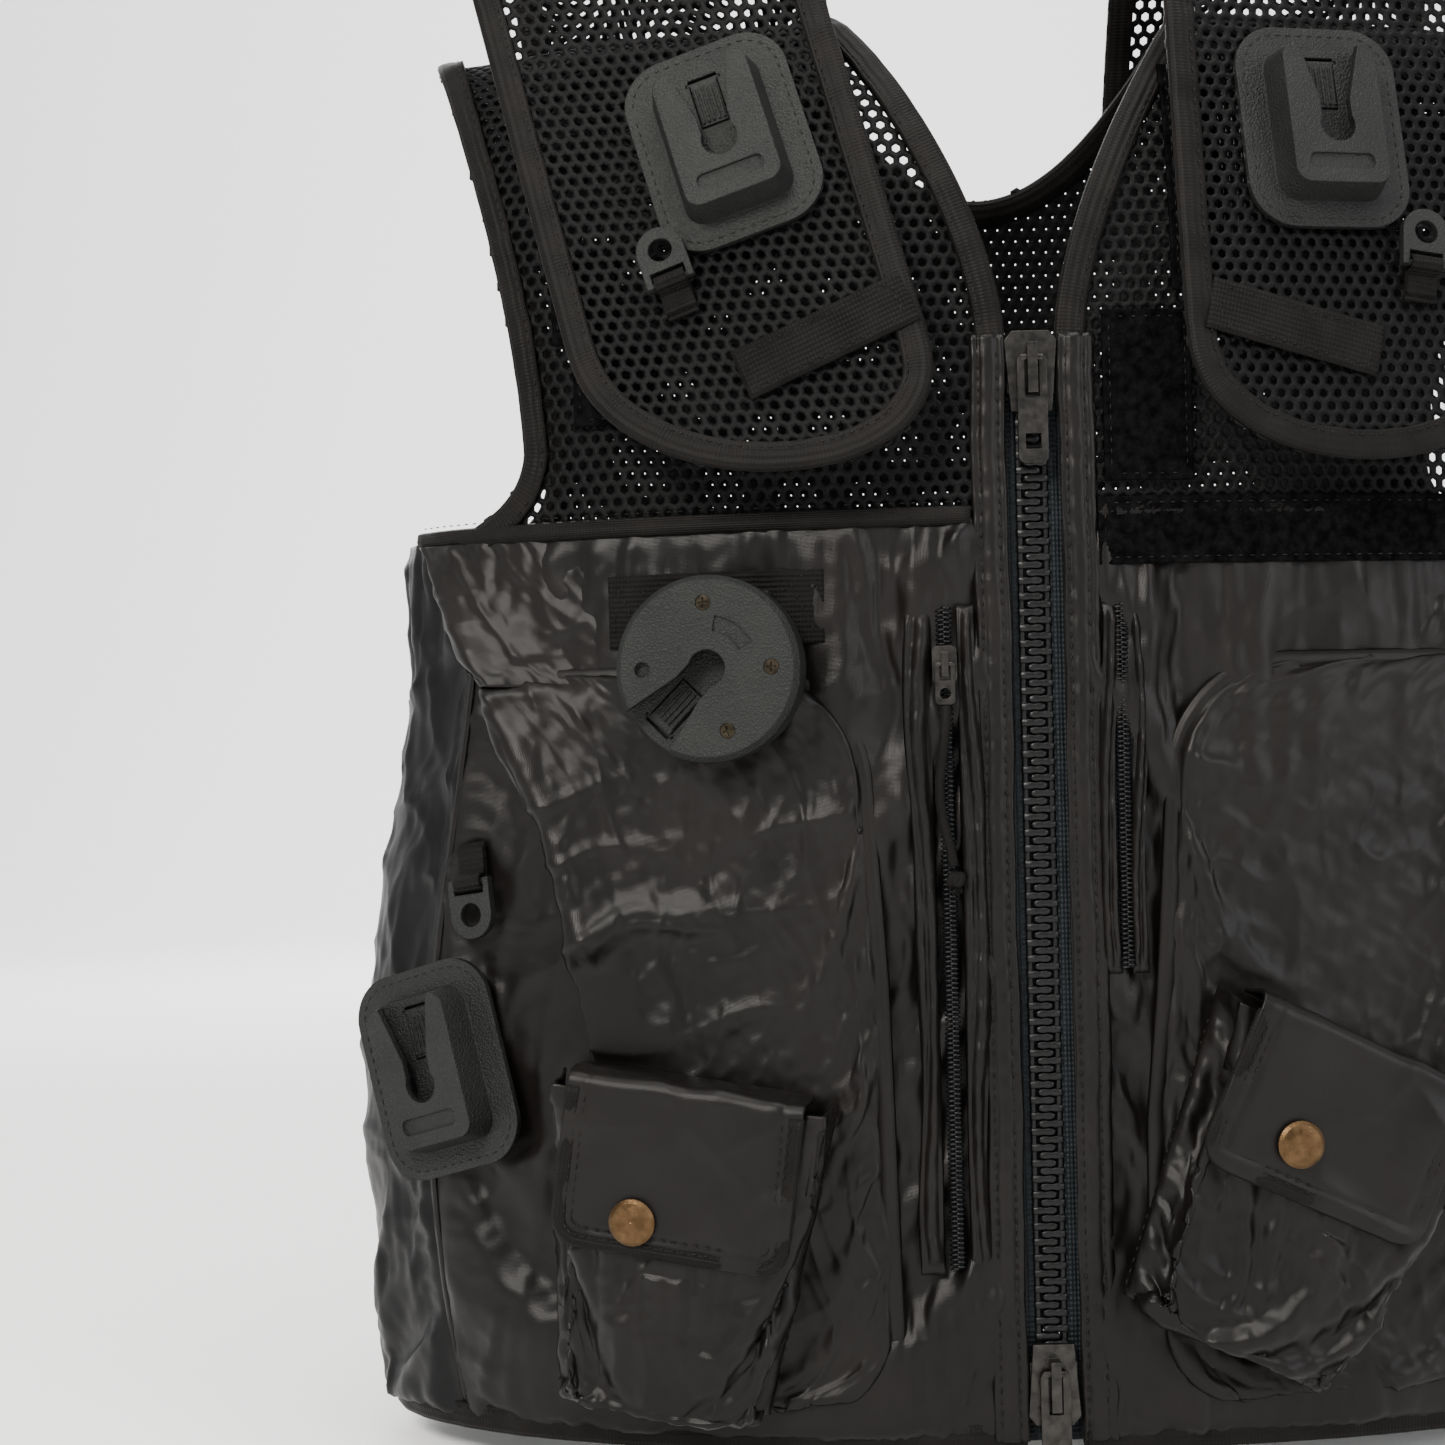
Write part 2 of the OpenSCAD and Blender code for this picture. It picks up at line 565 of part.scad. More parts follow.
// ---- swivel ring, its plate reaching +y from a bar along x, and the webbing loop that holds it ----
bar_r = 1.25;
ring_len = ring_w + 3;
ring_lift = 2.9 + ring_t / 2;
module swivel_ring() {
    translate([0, 0, -ring_t / 2]) linear_extrude(ring_t) difference() {
        union() {
            translate([0, ring_len - ring_w / 2]) circle(ring_w / 2);
            translate([-ring_w / 2, -1]) square([ring_w, ring_len - ring_w / 2 + 1]);
        }
        translate([0, ring_len - ring_w / 2]) circle(ring_hole_r);
        translate([-ring_w / 2 + 2.2, -4]) square([ring_w - 4.4, 8]);
    }
    translate([-ring_w / 2, 0, 0]) rotate([0, 90, 0]) cylinder(r = bar_r, h = ring_w);
}
module ring_tab(tail, base) {
    w = ring_w - 5.2;
    translate([-w / 2, 0, 0]) rotate([90, 0, 90]) linear_extrude(w) difference() {
        union() {
            circle(2.7);
            translate([-tail, -base]) square([tail, 1.6]);
            translate([-2.7, -base]) square([2.7, base]);
        }
        circle(bar_r + 0.07);
    }
}

// ---- over-shoulder flaps ----
flap_lean = 13;
loop_r = 48;
loop_c = [-0.1 * half_d, body_h + 5.4];
flap_ref = 0.486 * chest_w / 2;
rear_end_z = body_h - 56;
// Outer face of the flap at its rear end, [y, z], on the centre line
rear_end = [half_d * sqrt(1 - pow(flap_ref * 2 / chest_w, 2)) * abs(skin_d(s_of(rear_end_z))) + 6.2, rear_end_z];
to_end = rear_end - loop_c;
end_heading = atan2(to_end.y, -to_end.x) + 360 - acos(loop_r / norm(to_end));
loop_len = loop_r * (end_heading - flap_lean) * PI / 180;
tail_len = to_end.x * sin(end_heading) + to_end.y * cos(end_heading);
tail_run = abs(tail_len);
front_top = loop_c + loop_r * [-cos(flap_lean), sin(flap_lean)];
// Profile of the outer face as [y, z], t from the free front end up and over to the rear end
function flap_profile(t) =
    t <= flap_len ? front_top + (t - flap_len) * [sin(flap_lean), cos(flap_lean)]
    : t <= flap_len + loop_len
    ? let (h = flap_lean + (t - flap_len) / loop_r * 180 / PI) loop_c + loop_r * [-cos(h), sin(h)]
    : loop_c + loop_r * [-cos(end_heading), sin(end_heading)]
        + (t - flap_len - loop_len) * [sin(end_heading), cos(end_heading)];
function flap_mid(side, t) =
    side == LEFT ? flap_ref + 3
    : t < flap_len ? 82 + 45 * t / flap_len
    : 127 - 19 * smooth((t - flap_len) / (loop_len + tail_run));
function flap_half(t) =
    let (q = clamp01(1 - t / 42)) flap_w / 2 * sqrt(1 - 0.8 * q * q);
flap_skew = 0.22;
function curve_y(x) = sqrt(max(0.05, 1 - pow(2 * x / chest_w, 2))) / sqrt(1 - pow(2 * flap_ref / chest_w, 2));
function flap_face(side, a, t) =
    let (
        x = flap_mid(side, t) + a,
        p = flap_profile(t),
        w = smooth((t - flap_len) / (loop_len + 0.5 * tail_run))
    )
    [x, (1 - w) * (p[0] + flap_skew * (x - flap_ref)) + w * p[0] * curve_y(x), p[1]];
function flap_normal(side, a, t) =
    unit(cross(flap_face(side, a + probe, t) - flap_face(side, a - probe, t),
        flap_face(side, a, t + probe) - flap_face(side, a, t - probe)));

module flap_front(side) color(mesh_black) place() on_side(side)
    slab(8, 14, function(u, v, k)
        let (t = (flap_len - 0.15) * pow(v, 1.3))
        flap_face(side, flap_half(t) * (2 * u - 1), t)
        - (k == 0 ? flap_t : 0) * flap_normal(side, 0, flap_len / 2));

module flap_rear(side) color(mesh_black) place() on_side(side)
    slab(10, 22, function(u, v, k)
        let (t = flap_len + 0.15 + v * (loop_len + tail_run - 0.15))
        flap_face(side, flap_w / 2 * (2 * u - 1), t)
        - (k == 0 ? flap_t : 0) * flap_normal(side, flap_w / 2 * (2 * u - 1), t + 0.6));

// Frame on the flap's front face: a across from its centre line, t up from its free end
module on_flap(side, a, t, turn) place() on_side(side)
    frame_at(flap_face(side, a, t), flap_normal(side, 0, flap_len / 2), [0, 0, 1], turn) children();
module at_dock(side) on_flap(side, side == RIGHT ? -12 : -8, 0.6 * flap_len, side == RIGHT ? -18 : 0) children();
module at_ring(side) on_flap(side, side == RIGHT ? 17 : 22, 0.34 * flap_len, side == RIGHT ? -20 : -8)
    translate([0, 0, ring_lift]) children();

module flap_webbing(side) color(tape_black) {
    on_flap(side, side == RIGHT ? -26 : -22, 0.23 * flap_len, side == RIGHT ? -24 : -16)
        translate([0, 0, 0.3]) round_plate(0.52 * flap_w, 18, 1, 1.6);
    at_ring(side) ring_tab(10, ring_lift - 0.3);
}
module shoulder_dock(side) color(moulded) at_dock(side) dock();
module shoulder_latch(side) color(moulded) at_dock(side) dock_tongue();
module shoulder_ring(side) color(moulded) at_ring(side) swivel_ring();

// ---- side dock and side ring, wearer's right ----
module at_side_dock() place() on_side(RIGHT) on_skin(body_w / 2 - 36, waist_z + 13, 0.5, -16) children();
module at_side_ring() place() on_side(RIGHT) on_skin(body_w / 2 - 50, waist_z + 76, ring_lift, 172) children();
module side_dock() color(moulded) at_side_dock() dock();
module side_latch() color(moulded) at_side_dock() dock_tongue();
module side_ring_tab() color(tape_black) at_side_ring() ring_tab(12, ring_lift - 0.5);
module side_ring() color(moulded) at_side_ring() swivel_ring();

// ---- round dock on the chest ----
puck_z = armpit_z - 45;
puck_x = 102;
puck_off = 9;
mouth_turn = 135;
puck_floor = 2.6;
cover_t = 3;
module at_puck() place() on_side(RIGHT) on_skin(puck_x, puck_z, puck_off) children();
module puck_strap() color(tape_black) place() on_side(RIGHT)
    skin_strap(puck_x - 34, puck_x + 36, puck_z + 8, puck_z + 32);
module skin_strap(x0, x1, z0, z1)
    slab(14, 2, function(u, v, k)
        out(x0 + u * (x1 - x0), z0 + v * (z1 - z0), lay + 2.4 * smooth(2.5 * min(u, 1 - u)) + (k == 0 ? 0 : 1.4)));
module puck_body() color(moulded) at_puck() difference() {
    union() {
        rotate_extrude() polygon([[0, 0], [puck_d / 2 - 1, 0], [puck_d / 2, 1],
            [puck_d / 2, puck_t - cover_t], [0, puck_t - cover_t]]);
        translate([-18, 9, -4.3]) cube([36, 16, 5]);
    }
    rotate([0, 0, -mouth_turn]) {
        translate([0, 0, puck_floor + 2.6]) linear_extrude(puck_t) keyhole(puck_d / 2 + 4, 2.6);
        translate([0, 3, 0]) tongue_pocket(puck_d / 2 - 8, puck_floor);
    }
    for (a = PUCK_SCREWS) rotate([0, 0, a]) translate([0.35 * puck_d, 0, 4]) cylinder(r = 1.15, h = puck_t);
}
PUCK_SCREWS = [88, 180, 252];
module puck_cover() color(moulded) at_puck() difference() {
    translate([0, 0, puck_t - cover_t]) rotate_extrude()
        polygon([[0, 0], [puck_d / 2, 0], [puck_d / 2, 0.8], [puck_d / 2 - 1.8, cover_t], [0, cover_t]]);
    rotate([0, 0, -mouth_turn]) translate([0, 0, puck_t - cover_t - 1]) linear_extrude(cover_t + 2)
        keyhole(puck_d / 2 + 4);
    for (a = PUCK_SCREWS) rotate([0, 0, a]) translate([0.35 * puck_d, 0, 0]) {
        cylinder(r = 1.3, h = puck_t + 1);
        translate([0, 0, puck_t - 1.8]) cylinder(r = 2.5, h = 3);
    }
    translate([0.35 * puck_d, 0, puck_t - 2]) cylinder(r = 2.5, h = 3);
    rotate([0, 0, 100]) translate([0, 0, puck_t - 0.7]) rotate_extrude(angle = 52)
        translate([0.2 * puck_d, 0]) square([5, 2]);
}
module puck_screws() color(brass) at_puck()
    for (a = PUCK_SCREWS) rotate([0, 0, a]) translate([0.35 * puck_d, 0, 0]) difference() {
        union() {
            translate([0, 0, 5]) cylinder(r = 1.1, h = puck_t - 6.4);
            translate([0, 0, puck_t - 1.7]) cylinder(r = 2.4, h = 1.5);
        }
        translate([-1.6, -0.3, puck_t - 1]) cube([3.2, 0.6, 2]);
        translate([-0.3, -1.6, puck_t - 1]) cube([0.6, 3.2, 2]);
    }
module puck_latch() color(moulded) at_puck() rotate([0, 0, -mouth_turn])
    translate([0, 3, 0]) tongue(puck_d / 2 - 8, puck_floor);

// ---- selection ----
back_panel();
back_yoke_mesh();
front_panel(RIGHT);  // front_panel_right
front_panel(LEFT);  // front_panel_left
side_panel(RIGHT);  // side_panel_right
side_panel(LEFT);  // side_panel_left
chest_mesh(RIGHT);  // chest_mesh_right
chest_mesh(LEFT);  // chest_mesh_left
neck_binding();
armhole_binding(RIGHT);  // armhole_binding_right
armhole_binding(LEFT);  // armhole_binding_left
hem_binding();
placket(RIGHT);  // placket_right
placket(LEFT);  // placket_left
zip_tapes();
zip_teeth(RIGHT);  // zip_teeth_right
zip_teeth(LEFT);  // zip_teeth_left
zip_top_slider();
zip_top_pull();
zip_bottom_slider();
zip_bottom_pull();
patch_pocket(RIGHT);  // patch_pocket_right
patch_pocket(LEFT);  // patch_pocket_left
cargo_pocket(RIGHT);  // cargo_pocket_right
cargo_pocket(LEFT);  // cargo_pocket_left
cargo_lid(RIGHT);  // cargo_lid_right
cargo_lid(LEFT);  // cargo_lid_left
snap_cap(RIGHT);  // snap_cap_right
snap_cap(LEFT);  // snap_cap_left
snap_studs();
slit_welts();
slit_coils();
slit_slider();
slit_pull();
slit_cord();
slit_knot();
loop_tapes();
puck_strap();
puck_body();
puck_cover();
puck_screws();
puck_latch();
flap_rear(RIGHT);  // flap_rear_right
flap_rear(LEFT);  // flap_rear_left
flap_front(RIGHT);  // flap_front_right
flap_front(LEFT);  // flap_front_left
flap_webbing(RIGHT);  // flap_webbing_right
flap_webbing(LEFT);  // flap_webbing_left
shoulder_dock(RIGHT);  // shoulder_dock_right
shoulder_dock(LEFT);  // shoulder_dock_left
shoulder_latch(RIGHT);  // shoulder_latch_right
shoulder_latch(LEFT);  // shoulder_latch_left
shoulder_ring(RIGHT);  // shoulder_ring_right
shoulder_ring(LEFT);  // shoulder_ring_left
side_dock();
side_latch();
side_ring_tab();
side_ring();
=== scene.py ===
"""Equipment carrier vest: cloth, mesh, tapes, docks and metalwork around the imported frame.

Lengths in the classes are millimetres measured from the hem, and to_row() turns them into
the row frame's metres. +X is the wearer's left, -Y the front, +Z up.
"""

import json
import logging
import math
from dataclasses import dataclass, field
from enum import Enum
from typing import Callable, Dict, List, Optional, Sequence, Tuple

import bmesh
import bpy
import numpy as np
from mathutils import Matrix, Vector

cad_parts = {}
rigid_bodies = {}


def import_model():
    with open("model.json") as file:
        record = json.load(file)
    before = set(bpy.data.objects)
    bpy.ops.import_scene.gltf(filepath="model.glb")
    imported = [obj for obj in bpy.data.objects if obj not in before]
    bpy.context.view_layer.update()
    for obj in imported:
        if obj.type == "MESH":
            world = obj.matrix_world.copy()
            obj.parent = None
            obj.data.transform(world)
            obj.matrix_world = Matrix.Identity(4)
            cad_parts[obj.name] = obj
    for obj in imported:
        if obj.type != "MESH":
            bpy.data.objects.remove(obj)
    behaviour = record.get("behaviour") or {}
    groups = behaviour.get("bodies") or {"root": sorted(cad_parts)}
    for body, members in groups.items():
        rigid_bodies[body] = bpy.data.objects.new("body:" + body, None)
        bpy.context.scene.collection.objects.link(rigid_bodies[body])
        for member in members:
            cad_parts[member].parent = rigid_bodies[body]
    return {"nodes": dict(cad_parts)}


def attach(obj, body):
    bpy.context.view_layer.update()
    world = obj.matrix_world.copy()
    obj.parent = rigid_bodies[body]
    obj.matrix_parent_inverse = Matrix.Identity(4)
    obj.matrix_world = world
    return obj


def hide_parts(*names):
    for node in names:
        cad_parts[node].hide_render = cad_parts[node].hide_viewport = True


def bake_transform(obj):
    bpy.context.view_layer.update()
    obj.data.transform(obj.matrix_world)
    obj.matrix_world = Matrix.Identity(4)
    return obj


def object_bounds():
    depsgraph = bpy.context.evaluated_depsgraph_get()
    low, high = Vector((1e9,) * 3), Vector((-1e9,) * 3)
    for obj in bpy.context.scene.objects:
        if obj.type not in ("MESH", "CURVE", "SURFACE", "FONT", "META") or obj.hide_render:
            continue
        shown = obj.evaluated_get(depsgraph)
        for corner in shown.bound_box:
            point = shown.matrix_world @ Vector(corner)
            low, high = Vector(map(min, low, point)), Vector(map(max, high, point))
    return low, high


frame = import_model()
CAD_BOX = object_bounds()
log = logging.getLogger("vest")

Array = np.ndarray
Frame = Tuple[Array, Array, Array, Array]
Object = bpy.types.Object
Faces = List[Tuple[int, ...]]
Solid = Tuple[Array, Faces]

MM = 0.001
BODY_H = 484.0
VEST = "vest"
CLOTH_T = 0.8
STITCH_ROW = (6.8, 0.95)


class Side(Enum):
    """The wearer's right is at negative x."""

    RIGHT = -1
    LEFT = 1

    @property
    def word(self) -> str:
        """The side's name as the CAD nodes have it."""
        return "right" if self is Side.RIGHT else "left"


def to_row(points: Array) -> Array:
    """Millimetres from the hem to metres in the row frame."""
    return (np.asarray(points, float) - [0.0, 0.0, BODY_H]) * MM


def unit(v: Array) -> Array:
    """Vectors scaled to length one along the last axis."""
    v = np.asarray(v, float)
    return v / np.maximum(np.linalg.norm(v, axis=-1, keepdims=True), 1e-12)


def smooth(t: Array) -> Array:
    """Smoothstep of t, held at its ends."""
    t = np.clip(t, 0.0, 1.0)
    return t * t * (3 - 2 * t)


def ripple(p: Array, seed: int, waves: int = 7, scale: float = 30.0) -> Array:
    """Sum of seeded plane waves, about -1 to 1.

    Args:
        p: Points, (..., 2), in millimetres.
        seed: Seed of the directions and phases.
        waves: How many waves are summed.
        scale: The longest wavelength in millimetres.

    Returns:
        One value per point.
    """
    rng = np.random.default_rng(seed)
    total = np.zeros(p.shape[:-1])
    weight = 0.0
    for k in range(waves):
        angle = rng.uniform(0, math.pi)
        length = scale / (1 + 0.45 * k)
        phase = rng.uniform(0, 2 * math.pi)
        amp = 1 / (1 + 0.5 * k)
        total += amp * np.sin(
            2 * math.pi * (p[..., 0] * math.cos(angle) + p[..., 1] * math.sin(angle)) / length + phase
        )
        weight += amp
    return total / weight * 1.6


# ---------------------------------------------------------------------------
# Meshes
# ---------------------------------------------------------------------------


def deselect() -> None:
    """Clear the selection."""
    for o in list(bpy.context.selected_objects):
        o.select_set(False)


def make_active(obj: Object) -> None:
    """Select obj alone and make it the active object."""
    deselect()
    obj.select_set(True)
    bpy.context.view_layer.objects.active = obj


def new_object(name: str, verts: Array, faces: Sequence, uv: Optional[Array] = None,
               smooth_faces: bool = True) -> Object:
    """Build a mesh object from points in millimetres from the hem.

    Args:
        name: Name of the piece.
        verts: Points, (n, 3).
        faces: Index tuples, counter-clockwise from outside.
        uv: Cloth coordinates of each point in metres, (n, 2).
        smooth_faces: Whether faces are shaded smooth.

    Returns:
        The new object, linked to the scene.
    """
    mesh = bpy.data.meshes.new(name)
    mesh.from_pydata([tuple(v) for v in to_row(verts)], [], [tuple(int(i) for i in f) for f in faces])
    if uv is not None:
        layer = mesh.uv_layers.new(name="cloth")
        index = np.zeros(len(mesh.loops), int)
        mesh.loops.foreach_get("vertex_index", index)
        layer.data.foreach_set("uv", np.asarray(uv, float)[index].ravel())
    mesh.polygons.foreach_set("use_smooth", [smooth_faces] * len(mesh.polygons))
    mesh.update()
    obj = bpy.data.objects.new(name, mesh)
    bpy.context.collection.objects.link(obj)
    return obj


def apply_modifiers(obj: Object) -> Object:
    """Apply every modifier of obj in order."""
    make_active(obj)
    for modifier in list(obj.modifiers):
        bpy.ops.object.modifier_apply(modifier=modifier.name)
    deselect()
    return obj


def thicken(obj: Object, thickness: float, offset: float = -1.0, levels: int = 0) -> Object:
    """Give a sheet its thickness, and optionally subdivide it first.

    Args:
        obj: A single-layer mesh.
        thickness: Thickness in millimetres.
        offset: -1 grows inwards from the sheet, 1 outwards.
        levels: Subdivision levels.

    Returns:
        The same object.
    """
    if levels:
        sub = obj.modifiers.new("soften", "SUBSURF")
        sub.levels = sub.render_levels = levels
    solid = obj.modifiers.new("thickness", "SOLIDIFY")
    solid.thickness = thickness * MM
    solid.offset = offset
    return apply_modifiers(obj)


def grid_faces(nu: int, nv: int, flip: bool = False) -> List[Tuple[int, int, int, int]]:
    """Quads of an (nv + 1) by (nu + 1) grid whose points run along u first."""
    faces = []
    for j in range(nv):
        for i in range(nu):
            a = j * (nu + 1) + i
            quad = (a, a + 1, a + nu + 2, a + nu + 1)
            faces.append(quad[::-1] if flip else quad)
    return faces


def grid_object(name: str, points: Array, flip: bool = False, uv: Optional[Array] = None) -> Object:
    """Single-layer sheet through a grid of points, (rows, columns, 3)."""
    rows, cols = points.shape[:2]
    if uv is None:
        du = np.linalg.norm(np.diff(points, axis=1), axis=-1).cumsum(axis=1)
        dv = np.linalg.norm(np.diff(points, axis=0), axis=-1).cumsum(axis=0)
        u = np.concatenate([np.zeros((rows, 1)), du], axis=1)
        v = np.concatenate([np.zeros((1, cols)), dv], axis=0)
        uv = np.stack([u, v], -1) * MM
    return new_object(name, points.reshape(-1, 3), grid_faces(cols - 1, rows - 1, flip), uv.reshape(-1, 2))


def join_arrays(parts: Sequence[Solid]) -> Solid:
    """Stack several (points, faces) pairs into one."""
    points, faces, base = [], [], 0
    for p, f in parts:
        points.append(np.asarray(p, float))
        faces += [tuple(i + base for i in face) for face in f]
        base += len(p)
    return np.concatenate(points), faces


def unit_grid(columns: int, rows: int) -> Tuple[Array, Array]:
    """u and v from 0 to 1 over a grid."""
    return tuple(np.meshgrid(np.linspace(0, 1, columns), np.linspace(0, 1, rows)))


def travelled(points: Array) -> Array:
    """Length along a line up to each of its points."""
    return np.concatenate([[0], np.linalg.norm(np.diff(points, axis=0), axis=1).cumsum()])


def ring_faces(rings: int, sides: int, closed: bool = False) -> Faces:
    """Faces of a tube: a loop of rings, or a run of them with both its ends closed."""
    faces = []
    for i in range(rings if closed else rings - 1):
        a, b = i * sides, (i + 1) % rings * sides
        faces += [(a + k, a + (k + 1) % sides, b + (k + 1) % sides, b + k) for k in range(sides)]
    if not closed:
        faces += [tuple(range(sides))[::-1], tuple(range((rings - 1) * sides, rings * sides))]
    return faces


# ---------------------------------------------------------------------------
# The hanging shape that everything lies on
# ---------------------------------------------------------------------------


@dataclass(frozen=True)
class VestForm:
    """The surface of the hanging vest, the same as the CAD's."""

    body_w: float = 472.0
    chest_w: float = 424.0
    body_d: float = 170.0
    armhole_depth: float = 184.0
    front_neck_drop: float = 139.0
    lean_drop: float = 144.0
    waist_z: float = 110.0
    hem_in: float = 14.0
    neck_half: float = 62.0
    back_neck_drop: float = 48.0
    zip_gap: float = 9.0
    bulge: float = 2.6
    slope: float = 0.08
    side_angle: float = 60.0
    arm_corner: float = 30.0

    @property
    def half_d(self) -> float:
        """Half the depth."""
        return self.body_d / 2

    @property
    def armpit_z(self) -> float:
        """Height of the armpit."""
        return BODY_H - self.armhole_depth

    @property
    def seam_z(self) -> float:
        """Height of the seam between nylon and mesh."""
        return self.armpit_z + 3

    @property
    def lean_z(self) -> float:
        """Height where the yoke starts to lean back."""
        return BODY_H - self.lean_drop

    @property
    def lean_len(self) -> float:
        """Length in s from lean_z to the shoulder top."""
        return math.pi / 2 * math.sqrt((self.lean_drop ** 2 + self.half_d ** 2) / 2)

    @property
    def s_top(self) -> float:
        """Value of s at the shoulder top."""
        return self.lean_z + self.lean_len

    @property
    def neck_start_z(self) -> float:
        """Height where the neck edge leaves the zip."""
        return BODY_H - self.front_neck_drop + 15

    def half_w(self, z: Array) -> Array:
        """Half width of the body at height z."""
        z = np.asarray(z, float)
        low = self.body_w / 2 - self.hem_in * ((self.waist_z - z) / self.waist_z) ** 2
        t = (z - self.waist_z) / (self.armpit_z - self.waist_z)
        high = self.chest_w / 2 + (self.body_w - self.chest_w) / 2 * (1 - smooth(t))
        return np.where(z <= self.waist_z, low, high)

    def folded(self, s: Array) -> Array:
        """s measured up the front for points on the back."""
        return np.where(s > self.s_top, 2 * self.s_top - s, s)

    def skin_z(self, x: Array, s: Array) -> Array:
        """Height of the surface point at x and s."""
        f = self.folded(s)
        angle = np.radians(90 * np.maximum(f - self.lean_z, 0) / self.lean_len)
        peak = BODY_H - self.slope * np.maximum(0, np.abs(x) - self.neck_half)
        lean = self.lean_z + (peak - self.lean_z) * np.sin(angle) ** (2 / self.bulge)
        return np.where(f <= self.lean_z, f, lean)

    def skin(self, x: Array, s: Array) -> Array:
        """Surface point at x and s."""
        x, s = np.broadcast_arrays(np.asarray(x, float), np.asarray(s, float))
        z = self.skin_z(x, s)
        f = self.folded(s)
        angle = np.radians(90 * np.maximum(f - self.lean_z, 0) / self.lean_len)
        depth = np.where(f <= self.lean_z, 1.0, np.maximum(0, np.cos(angle)) ** (2 / self.bulge))
        depth = depth * np.where(s > self.s_top, -1.0, 1.0)
        bow = np.sqrt(np.maximum(0.02, 1 - (x / self.half_w(z)) ** 2))
        return np.stack([x, -self.half_d * bow * depth, z], -1)

    def normal(self, x: Array, s: Array) -> Array:
        """Outward normal at x and s."""
        across = self.skin(np.asarray(x) + 0.5, s) - self.skin(np.asarray(x) - 0.5, s)
        along = self.skin(x, np.asarray(s) + 0.5) - self.skin(x, np.asarray(s) - 0.5)
        return unit(np.cross(across, along))

    def out(self, x: Array, s: Array, d: Array) -> Array:
        """Point at distance d outside the surface."""
        return self.skin(x, s) + np.asarray(d, float)[..., None] * self.normal(x, s)

    def s_of(self, z: Array) -> Array:
        """s on the front at height z."""
        z = np.asarray(z, float)
        t = np.clip((z - self.lean_z) / self.lean_drop, 0, 1)
        lean = self.lean_z + self.lean_len / 90 * np.degrees(np.arcsin(t ** (self.bulge / 2)))
        return np.where(z <= self.lean_z, z, lean)

    def ring(self, a: Array, z: Array, d: Array = 0.0) -> Array:
        """Point at angle a in degrees round the body from the front, at height z, d outside."""
        a, z, d = np.broadcast_arrays(*(np.asarray(v, float) for v in (a, z, d)))

        def at(aa: Array, zz: Array) -> Array:
            r = np.radians(aa)
            return np.stack([self.half_w(zz) * np.sin(r), -self.half_d * np.cos(r), zz], -1)

        n = unit(np.cross(at(a + 1, z) - at(a - 1, z), at(a, z + 1) - at(a, z - 1)))
        return at(a, z) + d[..., None] * n

    def side_x(self, z: Array) -> Array:
        """x of the side seam at height z."""
        return self.half_w(z) * math.sin(math.radians(self.side_angle))

    def arm_at(self, s: Array) -> Array:
        """|x| of the armhole edge at s."""
        z = self.skin_z(np.zeros_like(np.asarray(s, float)), np.asarray(s, float))
        arm_in, arm_top = self.chest_w / 2 - 46, self.chest_w / 2 - 15
        t = (z - self.armpit_z) / self.arm_corner
        corner = 1 - np.sqrt(np.maximum(0, 1 - (1 - np.maximum(0, t)) ** 2))
        low = arm_in + (self.chest_w / 2 - 2 - arm_in) * corner
        rise = np.maximum(0, z - self.armpit_z - self.arm_corner) / (self.armhole_depth - self.arm_corner)
        return np.where(t < 1, low, arm_in + (arm_top - arm_in) * rise ** 1.5)

    @property
    def s_neck_start(self) -> float:
        """s where the neck edge leaves the zip."""
        return float(self.s_of(self.neck_start_z))

    @property
    def s_neck_back(self) -> float:
        """s of the neckline at the middle of the back."""
        return 2 * self.s_top - float(self.s_of(BODY_H - self.back_neck_drop))

    def neck_at(self, s: Array) -> Array:
        """|x| of the neck edge at s."""
        s = np.asarray(s, float)
        z = self.skin_z(np.zeros_like(s), s)
        t = np.clip((z - self.neck_start_z) / (BODY_H - self.neck_start_z), 0, 1)
        front = self.zip_gap + (self.neck_half - self.zip_gap) * t ** 1.6
        b = np.clip((s - self.s_top) / (self.s_neck_back - self.s_top), 0, 1)
        back = self.neck_half * np.sqrt(np.maximum(0, 1 - b ** 2))
        return np.where(s <= self.s_neck_start, self.zip_gap, np.where(s <= self.s_top, front, back))

    def s_by_length(self) -> Tuple[Array, Array]:
        """Length along the yoke at x = 110 from seam to seam, and the s at each."""
        s = np.concatenate([
            np.linspace(self.seam_z, self.lean_z, 40),
            self.lean_z + self.lean_len * np.linspace(0, 1, 400)[1:] ** 2.2,
        ])
        s = np.concatenate([s, (2 * self.s_top - s[::-1])[1:]])
        p = self.skin(np.full_like(s, 110.0), s)
        return travelled(p), s

    def spot(self, x: float, z: float, d: float, turn: float = 0.0) -> Frame:
        """Frame on the surface: origin, across, up and outward axes."""
        return turned(look_frame(self.out(x, z, d), self.normal(x, z)), turn)


def look_frame(point: Array, normal: Array) -> Frame:
    """Frame whose third axis is normal and whose second is as near to up as it can be."""
    z = unit(normal)
    x = unit(np.cross([0, 0, 1.0], z))
    return np.asarray(point, float), x, np.cross(z, x), z


def turned(f: Frame, turn: float) -> Frame:
    """Frame turned about its third axis, in degrees."""
    c, s = math.cos(math.radians(turn)), math.sin(math.radians(turn))
    p, x, y, z = f
    return p, c * x + s * y, -s * x + c * y, z


def moved(f: Frame, v: Sequence[float]) -> Frame:
    """Frame moved by v in its own axes."""
    p, x, y, z = f
    return p + v[0] * x + v[1] * y + v[2] * z, x, y, z


def mirrored(f: Frame) -> Frame:
    """Frame mirrored to the wearer's right; its axes are then left-handed."""
    m = np.array([-1.0, 1, 1])
    return tuple(m * v for v in f)


def place(f: Frame, local: Array) -> Array:
    """Points given in a frame, as points from the hem."""
    p, x, y, z = f
    local = np.asarray(local, float)
    return p + local[..., :1] * x + local[..., 1:2] * y + local[..., 2:3] * z


